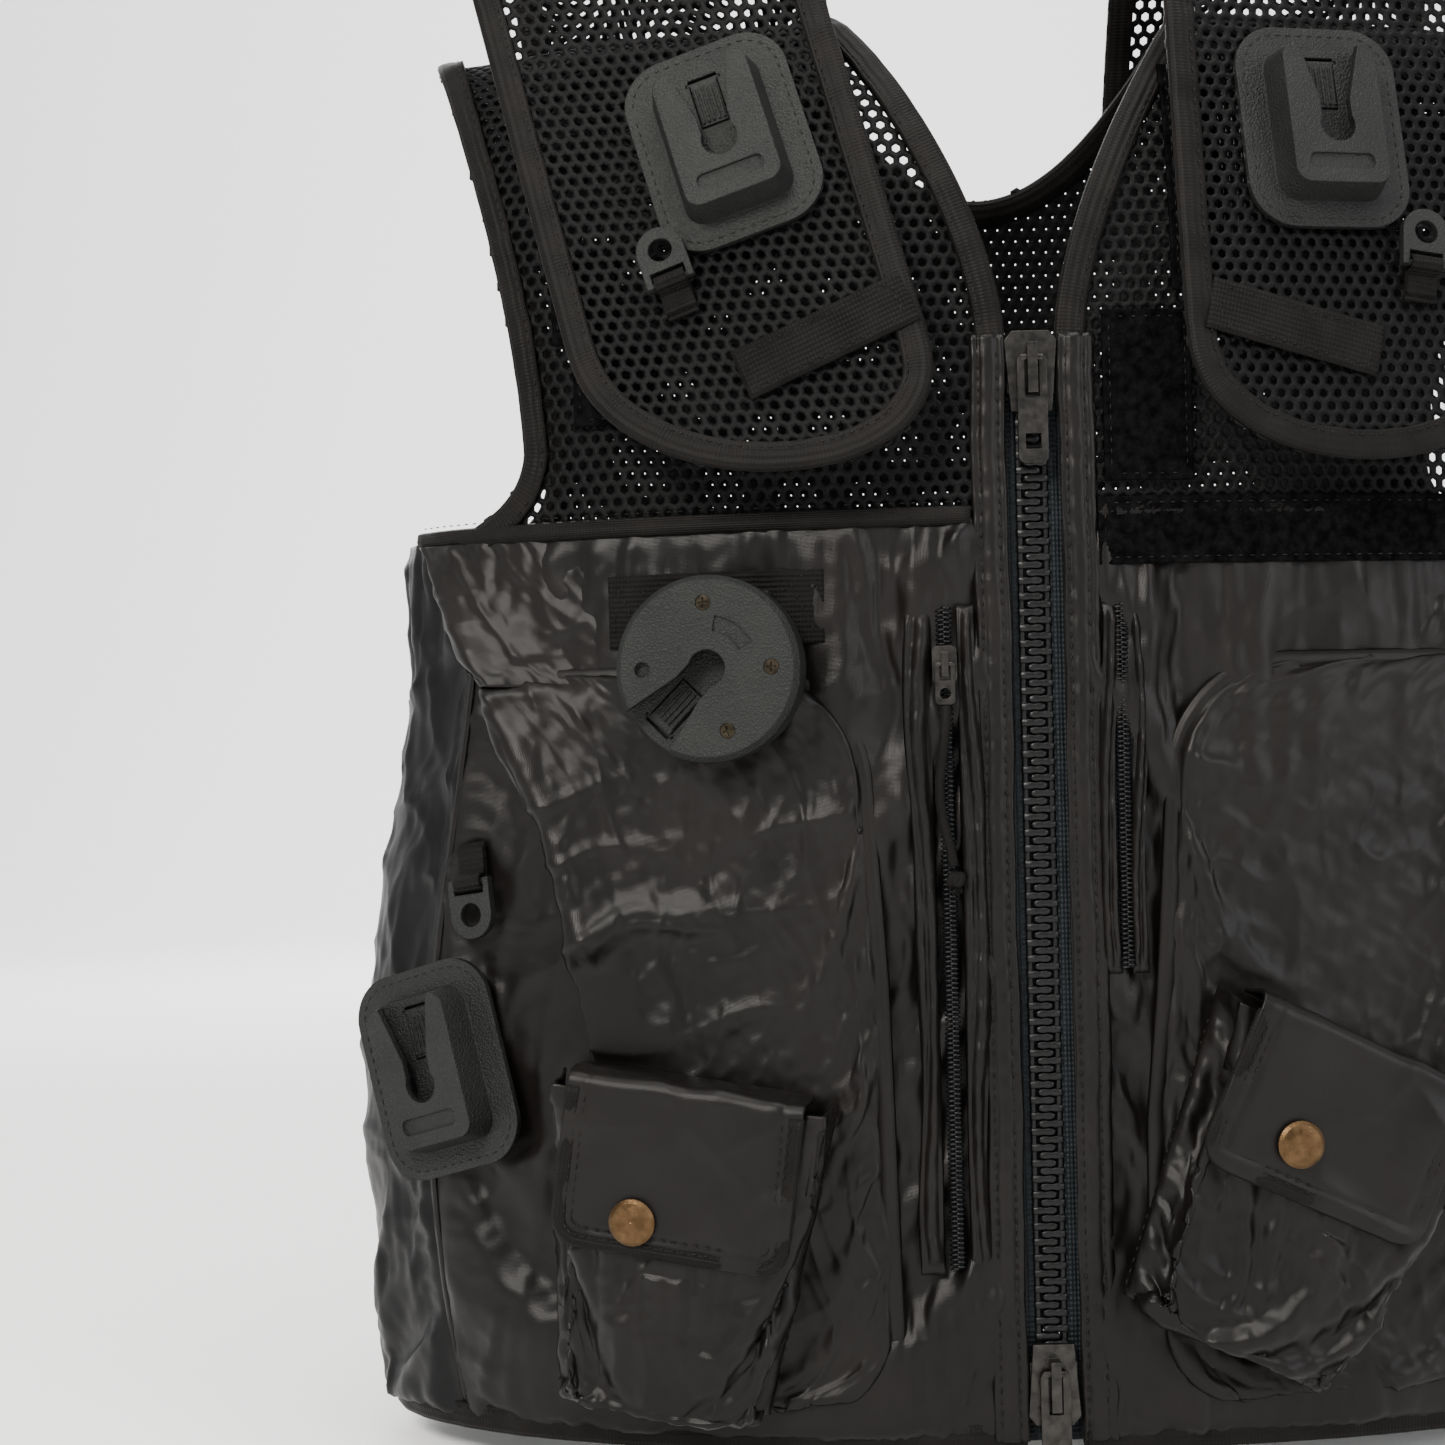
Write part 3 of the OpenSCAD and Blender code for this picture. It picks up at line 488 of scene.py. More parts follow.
def local_to(f: Frame, points: Array) -> Array:
    """Points from the hem, in a frame's own axes."""
    rel = points - f[0]
    return np.stack([rel @ f[1], rel @ f[2], rel @ f[3]], -1)


FORM = VestForm()


# ---------------------------------------------------------------------------
# Finishes
# ---------------------------------------------------------------------------


class Pattern(Enum):
    """What the fine surface of a finish looks like."""

    TAFFETA = "plain weave on the cloth's own grid"
    WEBBING = "ribbed tape"
    KNIT = "knitted thread"
    PILE = "brushed loops"
    GRAIN = "moulded grain"
    PLATED = "plated metal"


Colour = Tuple[float, float, float]
Tree = bpy.types.NodeTree
Socket = bpy.types.NodeSocket


@dataclass(frozen=True)
class Finish:
    """A surface finish, and the nodes that make it."""

    name: str
    pattern: Pattern
    colour: Colour
    worn: Colour
    roughness: float
    spread: float = 0.08
    metallic: float = 0.0
    sheen: float = 0.0
    specular: float = 0.5
    coarse: float = 40.0
    fine: float = 2500.0
    bump: float = 0.2
    round_edges: float = 0.0
    wrinkle: float = 0.0

    def make(self) -> bpy.types.Material:
        """Build the material once, and return it."""
        found = bpy.data.materials.get(self.name)
        if found:
            return found
        mat = bpy.data.materials.new(self.name)
        mat.use_nodes = True
        mat.diffuse_color = (*self.colour, 1)
        tree = mat.node_tree
        link = tree.links.new
        shader = tree.nodes["Principled BSDF"]
        shader.inputs["Metallic"].default_value = self.metallic
        shader.inputs["Specular IOR Level"].default_value = self.specular
        if self.sheen:
            shader.inputs["Sheen Weight"].default_value = self.sheen
            shader.inputs["Sheen Roughness"].default_value = 0.5
        coords = tree.nodes.new("ShaderNodeTexCoord")
        cloudy = self._noise(tree, coords.outputs["Object"], self.coarse, 5.0)
        tint = tree.nodes.new("ShaderNodeValToRGB")
        for stop, place_at, colour in zip(tint.color_ramp.elements, (0.35, 0.72), (self.colour, self.worn)):
            stop.position = place_at
            stop.color = (*colour, 1)
        link(cloudy, tint.inputs["Fac"])
        link(tint.outputs["Color"], shader.inputs["Base Color"])
        rough = self._node(tree, "MapRange", {"To Min": self.roughness - self.spread,
                                              "To Max": self.roughness + self.spread})
        link(cloudy, rough.inputs["Value"])
        link(rough.outputs["Result"], shader.inputs["Roughness"])
        height = self._height(tree, coords)
        bump = self._node(tree, "Bump", {"Strength": self.bump, "Distance": 0.0004})
        link(height, bump.inputs["Height"])
        if self.wrinkle:
            creased = self._node(tree, "Bump", {"Strength": self.wrinkle, "Distance": 0.0016})
            link(self._wrinkles(tree, coords.outputs["Object"]), creased.inputs["Height"])
            link(creased.outputs["Normal"], bump.inputs["Normal"])
        if self.round_edges:
            bevel = self._node(tree, "Bevel", {"Radius": self.round_edges * MM})
            bevel.samples = 4
            link(bevel.outputs["Normal"], bump.inputs["Normal"])
        link(bump.outputs["Normal"], shader.inputs["Normal"])
        return mat

    @staticmethod
    def _node(tree: Tree, kind: str, values: Dict[str, object],
              vector: Optional[Socket] = None) -> bpy.types.Node:
        """Add a node with values on its own inputs, and link its vector."""
        node = tree.nodes.new(f"ShaderNode{kind}")
        for key, value in values.items():
            node.inputs[key].default_value = value
        if vector is not None:
            tree.links.new(vector, node.inputs["Vector"])
        return node

    def _noise(self, tree: Tree, vector: Socket, scale: float, detail: float) -> Socket:
        """Add a noise texture and return its value."""
        return self._node(tree, "TexNoise", {"Scale": scale, "Detail": detail}, vector).outputs["Fac"]

    def _wave(self, tree: Tree, vector: Socket, scale: float, axis: str) -> Socket:
        """Add a wave texture along an axis and return its value."""
        node = self._node(tree, "TexWave", {"Scale": scale, "Distortion": 0.4, "Detail": 1.0}, vector)
        node.bands_direction = axis
        return node.outputs["Fac"]

    @staticmethod
    def _sum(tree: Tree, a: Socket, b: Socket, share: float) -> Socket:
        """Return a + share * b."""
        node = tree.nodes.new("ShaderNodeMath")
        node.operation = "MULTIPLY_ADD"
        node.inputs[1].default_value = share
        tree.links.new(b, node.inputs[0])
        tree.links.new(a, node.inputs[2])
        return node.outputs[0]

    def _wrinkles(self, tree: Tree, vector: Socket) -> Socket:
        """Return the height of thin cloth's small sharp wrinkles."""
        push = self._node(tree, "TexNoise", {"Scale": 14.0, "Detail": 2.0}, vector)
        bent = tree.nodes.new("ShaderNodeVectorMath")
        bent.operation = "MULTIPLY_ADD"
        bent.inputs[1].default_value = (0.05, 0.05, 0.05)
        tree.links.new(push.outputs["Color"], bent.inputs[0])
        tree.links.new(vector, bent.inputs[2])
        turn = {"Scale": (1.0, 1.0, 0.55), "Rotation": (0.0, 0.5, 0.0)}
        stretch = self._node(tree, "Mapping", turn, bent.outputs[0])
        ridge = self._node(tree, "TexNoise", {"Scale": 34.0, "Detail": 3.0}, stretch.outputs["Vector"])
        ridge.noise_type = "RIDGED_MULTIFRACTAL"
        return ridge.outputs["Fac"]

    def _height(self, tree: Tree, coords: bpy.types.Node) -> Socket:
        """Return the height that the bump reads, for this pattern."""
        obj, uv = coords.outputs["Object"], coords.outputs["UV"]
        fine = self._noise(tree, obj, self.fine, 3.0)
        if self.pattern is Pattern.TAFFETA:
            warp = self._wave(tree, uv, 820.0, "X")
            weft = self._wave(tree, uv, 760.0, "Y")
            slub = self._noise(tree, obj, 160.0, 6.0)
            return self._sum(tree, self._sum(tree, self._sum(tree, fine, warp, 0.4), weft, 0.4), slub, 3.0)
        if self.pattern is Pattern.WEBBING:
            ribs = self._wave(tree, uv, 190.0, "Y")
            cross = self._wave(tree, uv, 260.0, "X")
            return self._sum(tree, self._sum(tree, fine, ribs, 1.6), cross, 0.8)
        if self.pattern in (Pattern.KNIT, Pattern.PILE):
            tuft = self._noise(tree, obj, self.fine * 0.4, 2.0)
            return self._sum(tree, fine, tuft, 1.5)
        if self.pattern is Pattern.GRAIN:
            cells = self._node(tree, "TexVoronoi", {"Scale": self.fine * 0.5}, obj)
            return self._sum(tree, fine, cells.outputs["Distance"], 1.2)
        scratches = self._noise(tree, obj, self.fine * 0.15, 8.0)
        return self._sum(tree, fine, scratches, 2.0)


NYLON = Finish("nylon_taffeta", Pattern.TAFFETA, (0.0034, 0.0029, 0.0027), (0.0064, 0.0054, 0.0048),
               0.31, 0.07, specular=0.14, coarse=22.0, bump=0.16, wrinkle=0.2)
NYLON_SIDE = Finish("nylon_side", Pattern.TAFFETA, (0.0030, 0.0030, 0.0032), (0.0052, 0.0051, 0.0053),
                    0.36, 0.07, specular=0.11, coarse=22.0, bump=0.16, wrinkle=0.18)
KNIT = Finish("knitted_mesh", Pattern.KNIT, (0.0012, 0.0012, 0.0013), (0.0036, 0.0036, 0.0037),
              0.5, 0.1, specular=0.08, coarse=220.0, fine=2600.0, bump=0.5)
BINDING = Finish("binding_tape", Pattern.WEBBING, (0.0030, 0.0026, 0.0024), (0.0062, 0.0054, 0.0048),
                 0.5, 0.1, sheen=0.01, specular=0.07, coarse=60.0, bump=0.35)
TAPE = Finish("webbing_tape", Pattern.WEBBING, (0.0028, 0.0026, 0.0024), (0.006, 0.0056, 0.0052),
              0.55, 0.1, sheen=0.01, specular=0.06, coarse=90.0, bump=0.6)
ZIP_TAPE = Finish("zip_tape", Pattern.WEBBING, (0.0028, 0.0044, 0.0056), (0.0055, 0.0078, 0.0098),
                  0.5, 0.1, sheen=0.02, specular=0.12, coarse=120.0, bump=0.5)
PILE = Finish("brushed_pile", Pattern.PILE, (0.0016, 0.0016, 0.0017), (0.005, 0.005, 0.0052),
              0.95, 0.04, specular=0.0, coarse=300.0, fine=1700.0, bump=1.0)
THREAD = Finish("sewing_thread", Pattern.KNIT, (0.0062, 0.0053, 0.0046), (0.013, 0.0112, 0.0098),
                0.5, 0.1, specular=0.14, coarse=300.0, bump=0.3)
MOULDED = Finish("moulded_case", Pattern.GRAIN, (0.0065, 0.0073, 0.0067), (0.0108, 0.0119, 0.0108),
                 0.46, 0.08, specular=0.16, coarse=50.0, fine=2600.0, bump=0.6, round_edges=0.8)
MOULDED_DARK = Finish("moulded_teeth", Pattern.GRAIN, (0.0015, 0.0015, 0.0016), (0.004, 0.004, 0.0043),
                      0.34, 0.08, specular=0.2, coarse=200.0, fine=2000.0, bump=0.15, round_edges=0.3)
GUNMETAL = Finish("gunmetal_plate", Pattern.PLATED, (0.02, 0.019, 0.0177), (0.045, 0.042, 0.039),
                  0.3, 0.1, metallic=0.9, coarse=300.0, fine=1800.0, bump=0.2, round_edges=0.4)
BRASS = Finish("antique_brass", Pattern.PLATED, (0.05, 0.028, 0.0115), (0.1, 0.06, 0.028),
               0.36, 0.1, metallic=0.92, coarse=260.0, fine=1500.0, bump=0.3, round_edges=0.3)
SCREW = Finish("screw_metal", Pattern.PLATED, (0.016, 0.013, 0.009), (0.045, 0.037, 0.024),
               0.3, 0.1, metallic=0.95, coarse=400.0, fine=1800.0, bump=0.2, round_edges=0.2)


def dress(obj: Object, finish: Finish) -> Object:
    """Give a piece its finish."""
    obj.data.materials.clear()
    obj.data.materials.append(finish.make())
    return obj


def fit(obj: Object, finish: Finish, body: str = VEST,
        stands_for: Optional[str] = None) -> Object:
    """Finish a piece, let it ride a body and let it stand for a node.

    Args:
        obj: The piece.
        finish: Its finish.
        body: The body it rides.
        stands_for: The node that it replaces, if any.

    Returns:
        The same object.
    """
    dress(obj, finish)
    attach(obj, body)
    if stands_for:
        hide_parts(stands_for)
    return obj


def dress_node(name: str, finish: Finish) -> None:
    """Give a CAD node its finish, in place."""
    obj = frame["nodes"][name]
    material = finish.make()
    if not obj.material_slots:
        obj.data.materials.append(material)
    for slot in obj.material_slots:
        slot.material = material


# ---------------------------------------------------------------------------
# Sewn things that repeat: open mesh cloth, bindings, stitches, slabs
# ---------------------------------------------------------------------------


@dataclass(frozen=True)
class OpenKnit:
    """Knitted mesh: a six-sided net whose holes are taller than wide."""

    pitch_u: float = 4.7
    pitch_v: float = 4.3
    hole_u: float = 1.28
    hole_v: float = 1.62
    thickness: float = 0.9

    def build(self, name: str, u_range: Tuple[float, float], v_range: Tuple[float, float],
              at: Callable[[Array, Array, Array], Array], inside: Callable[[Array, Array], Array],
              flip: bool = False) -> Object:
        """Make the net over a region of a surface.

        Args:
            name: Name of the piece.
            u_range: Lowest and highest u in millimetres.
            v_range: Lowest and highest v in millimetres.
            at: Point at u, v and a distance d outside the surface.
            inside: Which cell centres are kept.
            flip: Whether u runs the other way round the outward normal.

        Returns:
            The net, with its thickness.
        """
        cols = int((u_range[1] - u_range[0]) / self.pitch_u * 2) + 1
        rows = int((v_range[1] - v_range[0]) / self.pitch_v) + 1
        k, j = np.meshgrid(np.arange(-1, cols + 2), np.arange(0, rows + 1))
        lift = np.where((k - j) % 2 == 0, -1.0, 1.0) * self.pitch_v / 6
        bu = u_range[0] + k * self.pitch_u / 2
        bv = v_range[0] + (j - 0.5) * self.pitch_v + lift
        width = bu.shape[1]
        ring_angle = np.radians([-90, -30, 30, 90, 150, 210])
        corner_count = bu.size
        rim_u, rim_v, faces = [], [], []
        for row in range(rows):
            centre = np.arange(row % 2, cols, 2)
            cu = u_range[0] + centre * self.pitch_u / 2
            cv = np.full_like(cu, v_range[0] + row * self.pitch_v, dtype=float)
            keep = inside(cu, cv)
            for c, u, v in zip(centre[keep], cu[keep], cv[keep]):
                low, high = row * width + 1, (row + 1) * width + 1
                outer = (low + c, low + c + 1, high + c + 1, high + c, high + c - 1, low + c - 1)
                base = corner_count + len(rim_u) * 6
                rim_u.append(u + self.hole_u * 1.12 * np.cos(ring_angle))
                rim_v.append(v + self.hole_v * np.sin(ring_angle))
                for m in range(6):
                    n = (m + 1) % 6
                    quad = (outer[m], outer[n], base + n, base + m)
                    faces.append(quad[::-1] if flip else quad)
        u = np.concatenate([bu.ravel(), np.concatenate(rim_u)])
        v = np.concatenate([bv.ravel(), np.concatenate(rim_v)])
        d = np.concatenate([np.full(corner_count, 0.0), np.full(len(rim_u) * 6, -0.22)])
        used = np.unique(np.asarray(faces).ravel())
        renumber = np.zeros(len(u), int)
        renumber[used] = np.arange(len(used))
        faces = renumber[np.asarray(faces)]
        points = at(u[used], v[used], d[used])
        obj = new_object(name, points, faces, np.stack([u, v], -1)[used] * MM)
        return thicken(obj, self.thickness)


BIND_SECTION = [(8.6, 0.25), (8.4, 0.9), (6.8, 0.7), (4.2, 1.1), (1.0, 0.95), (-0.6, 0.3), (-1.0, -0.9),
                (-0.6, -2.1), (0.9, -2.8), (4.5, -2.7), (8.2, -2.6), (8.4, -2.1), (4.0, -2.2), (1.0, -1.9),
                (0.3, -0.9), (1.2, 0.0), (4.0, 0.15)]
SEAM_ROLL = [(3.2, 0.2), (2.6, 1.5), (0.0, 2.1), (-2.6, 1.5), (-3.2, 0.2), (0, 0.0)]


@dataclass
class EdgeRun:
    """A line along a surface, with the outward normal and the direction into the cloth."""

    points: Array
    normals: Array
    inward: Array

    @staticmethod
    def along(points: Array, normals: Array, sign: float) -> "EdgeRun":
        """Line whose inward direction is sign times normal cross tangent."""
        tangent = unit(np.gradient(points, axis=0))
        normals = unit(normals - (normals * tangent).sum(-1, keepdims=True) * tangent)
        return EdgeRun(points, normals, sign * np.cross(normals, tangent))

    def resampled(self, step: float) -> "EdgeRun":
        """The same line with points step apart."""
        length = travelled(self.points)
        count = max(3, int(length[-1] / step) + 1)
        t = np.linspace(0, length[-1], count)

        def take(values: Array) -> Array:
            return np.stack([np.interp(t, length, values[:, k]) for k in range(3)], -1)

        return EdgeRun(take(self.points), unit(take(self.normals)), unit(take(self.inward)))


def binding(name: str, run: EdgeRun, seed: int, section: Sequence[Tuple[float, float]] = BIND_SECTION,
            pucker: float = 0.42, closed: bool = False, step: float = 3.0) -> Object:
    """Folded tape round an edge, slightly puckered along its stitches.

    Args:
        name: Name of the piece.
        run: The edge.
        seed: Seed of the puckers.
        section: The tape's section as (inwards, outwards) points.
        pucker: Height of the puckers in millimetres.
        closed: Whether the edge is a loop.
        step: Distance between sections.

    Returns:
        The tape.
    """
    run = run.resampled(step)
    n, m = len(run.points), len(section)
    travel = np.arange(n) * step
    rng = np.random.default_rng(seed)
    phase = rng.uniform(0, 6.3, 3)
    wave = (np.sin(travel / 1.75 + phase[0]) * 0.5 + np.sin(travel / 3.1 + phase[1]) * 0.6
            + np.sin(travel / 7.3 + phase[2]) * 0.5) * pucker
    fade = np.array([1.0 if a > 1.5 else 0.35 for a, _ in section])
    rings = np.stack([
        run.points + run.inward * a + run.normals * (d + (wave * fade[q])[:, None] * (1 if d > 0 else 0.3))
        for q, (a, d) in enumerate(section)
    ], 1)
    around = np.linspace(0, 0.03, m)
    uv = np.stack(np.broadcast_arrays(travel[:, None] * MM, around[None, :]), -1)
    return recalculate(new_object(name, rings.reshape(-1, 3), ring_faces(n, m, closed), uv.reshape(-1, 2)))


def recalculate(obj: Object) -> Object:
    """Point a closed mesh's faces outwards."""
    bm = bmesh.new()
    bm.from_mesh(obj.data)
    bmesh.ops.recalc_face_normals(bm, faces=bm.faces)
    bm.to_mesh(obj.data)
    bm.free()
    return obj


def stitch_parts(run: EdgeRun, inset: float, lift: float, pitch: float = 3.6, length: float = 2.4,
                 width: float = 0.55, height: float = 0.45) -> List[Solid]:
    """Short rounded stitches along a line.

    Args:
        run: The line.
        inset: Distance from the line into the cloth.
        lift: Distance outside the surface.
        pitch: Distance between stitches.
        length: Length of one stitch.
        width: Width of one stitch.
        height: Height of one stitch.

    Returns:
        One pair of points and faces for each stitch.
    """
    run = run.resampled(pitch)
    tangent = unit(np.gradient(run.points, axis=0))
    centre = run.points + run.inward * inset + run.normals * lift
    faces = [(0, 1, 2), (0, 2, 3), (0, 3, 4), (0, 4, 1), (5, 2, 1), (5, 3, 2), (5, 4, 3), (5, 1, 4)]
    parts = []
    for c, t, n, w in zip(centre[1:-1], tangent[1:-1], run.normals[1:-1], run.inward[1:-1]):
        corners = [c - t * length / 2, c + w * width / 2, c + n * height / 2, c - w * width / 2,
                   c - n * height / 2, c + t * length / 2]
        parts.append((np.array(corners), faces))
    return parts


def stitches(name: str, parts: Sequence[Solid]) -> Object:
    """Join stitches into one piece."""
    return dress(recalculate(new_object(name, *join_arrays(parts))), THREAD)


def sew(name: str, parts: Sequence[Solid], body: str = VEST) -> None:
    """Join stitches into one piece that rides a body."""
    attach(stitches(name, parts), body)


def surface_run(x: Array, s: Array, sign: float) -> EdgeRun:
    """Edge line on the vest's surface through points x, s."""
    return EdgeRun.along(FORM.skin(x, s), FORM.normal(x, s), sign)


def slab_on(name: str, x: Array, s: Array, d: Array, thickness: float, flip: bool) -> Object:
    """Flat tape lying on the vest's surface.

    Args:
        name: Name of the piece.
        x: Grid of x.
        s: Grid of s.
        d: Grid of heights of the tape's outer face.
        thickness: Thickness of the tape.
        flip: Whether the grid runs the other way round.

    Returns:
        The tape.
    """
    obj = grid_object(name, FORM.out(x, s, d), flip)
    return thicken(obj, thickness)


def patch_grid(x0: float, x1: float, z0: float, z1: float, nx: int, nz: int) -> Tuple[Array, Array]:
    """Grid of x and s between two x and two heights on the front."""
    x, z = np.meshgrid(np.linspace(x0, x1, nx + 1), np.linspace(z0, z1, nz + 1))
    return x, FORM.s_of(z)


# ---------------------------------------------------------------------------
# Camera, light and floor
# ---------------------------------------------------------------------------


@dataclass(frozen=True)
class Studio:
    """Camera at the object's front, soft lights, floor and a light backdrop."""

    eye: Tuple[float, float, float] = (-0.102, -0.885, -0.246)
    fov: float = 32.5
    roll: float = -1.35

    def build(self) -> None:
        """Create the camera, lights, world and floor."""
        cam = bpy.data.cameras.new("camera")
        cam.sensor_fit = "AUTO"
        cam.sensor_width = 36
        cam.lens = 18 / math.tan(math.radians(self.fov / 2))
        cam.clip_start = 0.05
        camera = bpy.data.objects.new("camera", cam)
        bpy.context.collection.objects.link(camera)
        camera.matrix_world = (Matrix.Translation(Vector(self.eye))
                               @ Matrix.Rotation(math.radians(90), 4, "X")
                               @ Matrix.Rotation(math.radians(self.roll), 4, "Z"))
        bpy.context.scene.camera = camera
        self._light("key", (-0.85, -1.5, 0.85), 58, 0.6, (1.0, 0.96, 0.9))
        self._light("fill", (1.4, -1.3, 0.3), 16, 0.8, (0.97, 0.98, 1.0))
        self._light("top", (0.1, -0.3, 1.3), 20, 0.8, (1.0, 0.98, 0.95))
        self._light("rim", (-0.6, 1.5, 0.6), 20, 1.2, (1.0, 1.0, 1.0))
        self._light("wash", (0.0, 1.6, 1.6), 130, 2.0, (1.0, 1.0, 1.0), (0.0, 5.0, 0.4))
        world = bpy.data.worlds.new("studio")
        world.use_nodes = True
        world.node_tree.nodes["Background"].inputs["Color"].default_value = (1.0, 1.0, 1.0, 1)
        world.node_tree.nodes["Background"].inputs["Strength"].default_value = 1.15
        bpy.context.scene.world = world
        low = CAD_BOX[0][2] - 0.002
        turn = np.radians(np.linspace(0, 90, 16))
        reach, radius = 2.4, 2.2
        curve = [(reach + radius * math.sin(a), low + radius - radius * math.cos(a)) for a in turn]
        line = [(-9.0, low)] + curve + [(4.6, 7.0)]
        floor = bpy.data.meshes.new("floor")
        floor.from_pydata([(x, y, z) for y, z in line for x in (-9.0, 9.0)], [],
                          [(2 * i, 2 * i + 1, 2 * i + 3, 2 * i + 2) for i in range(len(line) - 1)])
        floor.polygons.foreach_set("use_smooth", [True] * len(floor.polygons))
        floor_obj = bpy.data.objects.new("floor", floor)
        bpy.context.collection.objects.link(floor_obj)
        pale = bpy.data.materials.new("pale_floor")
        pale.use_nodes = True
        shader = pale.node_tree.nodes["Principled BSDF"]
        shader.inputs["Base Color"].default_value = (0.9, 0.9, 0.9, 1)
        shader.inputs["Roughness"].default_value = 0.8
        floor.materials.append(pale)

    @staticmethod
    def _light(name: str, where: Tuple[float, float, float], power: float, size: float, colour: Colour,
               target: Tuple[float, float, float] = (0.0, 0.0, -0.25)) -> None:
        """Add one soft area light that points at a target."""
        light = bpy.data.lights.new(name, "AREA")
        light.energy = power
        light.size = size
        light.color = colour
        obj = bpy.data.objects.new(name, light)
        bpy.context.collection.objects.link(obj)
        obj.location = where
        aim = Vector(target) - Vector(where)
        obj.rotation_euler = aim.to_track_quat("-Z", "Y").to_euler()


# ---------------------------------------------------------------------------
# Slit zips beside the front zip, with the pull cord
# ---------------------------------------------------------------------------


@dataclass(frozen=True)
class SlitZip:
    """The two chest slits, their coils, and the cord on the right one's slider."""

    cord_d: float = 3.4
    route: Tuple[Tuple[float, float, float], ...] = (
        (30, 241.5, 5.6), (30.1, 238.5, 6.2), (30.3, 235.5, 6.8), (30.7, 232, 7.1), (31.1, 228.5, 7.1),
        (31.6, 225, 6.8), (32, 221.5, 6.4), (32.4, 218, 5.9), (32.5, 214.5, 5.5), (32.4, 211, 5.2),
        (32, 207.5, 5.1), (31.4, 204, 5.2), (30.7, 200.5, 5.5), (29.9, 197, 5.9), (29.2, 193.5, 6.2),
        (28.6, 190, 6.5))
    high: float = 274.0

    def low(self, side: Side) -> float:
        """Height of the slit's lower end."""
        return 60.0 if side is Side.RIGHT else 156.0

    def centre(self, side: Side) -> float:
        """x of the slit."""
        return -30.0 if side is Side.RIGHT else 27.0

    def cord(self) -> Object:
        points = np.array([FORM.out(np.array(-x), np.array(z), np.array(d)) for x, z, d in self.route])
        dense = self._spline(points, 4)
        row = to_row(dense)
        tangent = unit(np.gradient(dense, axis=0))
        side = unit(np.cross(tangent, [0, -1.0, 0.1]))
        up = np.cross(side, tangent)
        count = 12
        angle = np.linspace(0, 2 * math.pi, count, endpoint=False)
        travel = travelled(dense)
        verts = []
        for c, s, u, t in zip(dense, side, up, travel):
            r = self.cord_d / 2 * (0.93 + 0.07 * np.cos(3 * (angle - t * 1.1)))
            verts.append(c + r[:, None] * (np.cos(angle)[:, None] * s + np.sin(angle)[:, None] * u))
        cord = new_object("slit_pull_cord", np.concatenate(verts), ring_faces(len(dense), count))
        fit(recalculate(cord), TAPE, "slit_pull", "slit_cord")
        knot = self._knot(points[-1] + [0.4, 0, -3.9])
        path = [tuple(float(v) for v in p) for p in to_row(points)]
        return cord

    @staticmethod
    def _spline(points: Array, cuts: int) -> Array:
        """Catmull-Rom line through points."""
        ext = np.concatenate([[2 * points[0] - points[1]], points, [2 * points[-1] - points[-2]]])
        out = []
        for i in range(1, len(ext) - 2):
            a, b, c, d = ext[i - 1:i + 3]
            for t in np.linspace(0, 1, cuts, endpoint=False):
                out.append(0.5 * (2 * b + (c - a) * t + (2 * a - 5 * b + 4 * c - d) * t ** 2
                                  + (3 * b - a - 3 * c + d) * t ** 3))
        return np.array(out + [ext[-2]])

    def _knot(self, centre: Array) -> Object:
        """Build the frayed knot under the cord: a trefoil wrap and its loose strands."""
        t = np.linspace(0, 2 * math.pi, 61)[:-1]
        line = centre + np.stack([np.sin(t) + 2 * np.sin(2 * t), -(np.cos(t) - 2 * np.cos(2 * t)) * 0.8,
                                  1.25 * np.sin(3 * t) - 0.2], -1) * [0.66, 0.7, 1.05]
        parts = [self._tube(np.concatenate([line, line[:2]]), 1.35, 9)]
        parts.append(self._ball(centre, 2.6))
        rng = np.random.default_rng(9)
        for _ in range(22):
            lean = rng.uniform(-1, 1, 2) * [1.4, 0.9]
            root = centre + [lean[0] * 0.6, lean[1] * 0.6, -1.6]
            tip = root + [lean[0] * 1.1, lean[1] - 0.2, -rng.uniform(2.0, 3.4)]
            mid = (root + tip) / 2 + [rng.uniform(-0.4, 0.4), 0, 0.2]
            parts.append(self._tube(np.array([root, mid, tip]), 0.2, 5))
        knot = recalculate(new_object("slit_pull_knot", *join_arrays(parts)))
        return fit(knot, TAPE, "slit_pull", "slit_knot")

    @staticmethod
    def _tube(line: Array, radius: float, sides: int) -> Solid:
        """Tube along a line, as points and faces."""
        tangent = unit(np.gradient(line, axis=0))
        side = unit(np.cross(tangent, [0.31, -0.9, 0.3]))
        up = np.cross(side, tangent)
        a = np.linspace(0, 2 * math.pi, sides, endpoint=False)
        verts = (line[:, None] + radius * (np.cos(a)[None, :, None] * side[:, None]
                                           + np.sin(a)[None, :, None] * up[:, None])).reshape(-1, 3)
        return verts, ring_faces(len(line), sides)

    @staticmethod
    def _ball(centre: Array, radius: float) -> Solid:
        """Ball as points and faces, with small flats at its poles."""
        rings, sides = 9, 14
        lat, lon = np.linspace(-1.45, 1.45, rings), np.linspace(0, 2 * math.pi, sides, endpoint=False)
        verts = np.array([[math.cos(a) * math.cos(b), math.cos(a) * math.sin(b), math.sin(a)]
                          for a in lat for b in lon]) * radius + centre
        return verts, ring_faces(rings, sides)

    def welts(self) -> None:
        """Build the puckered folds either side of each slit, and their coils."""
        for side in Side:
            edges = [(-11.5, -4.0), (4.0, 12.0)] if side is Side.RIGHT else [(-7.4, -1.7), (1.7, 7.0)]
            for k, (a, b) in enumerate(edges):
                self._welt(side, k, a, b)
        self._coils()

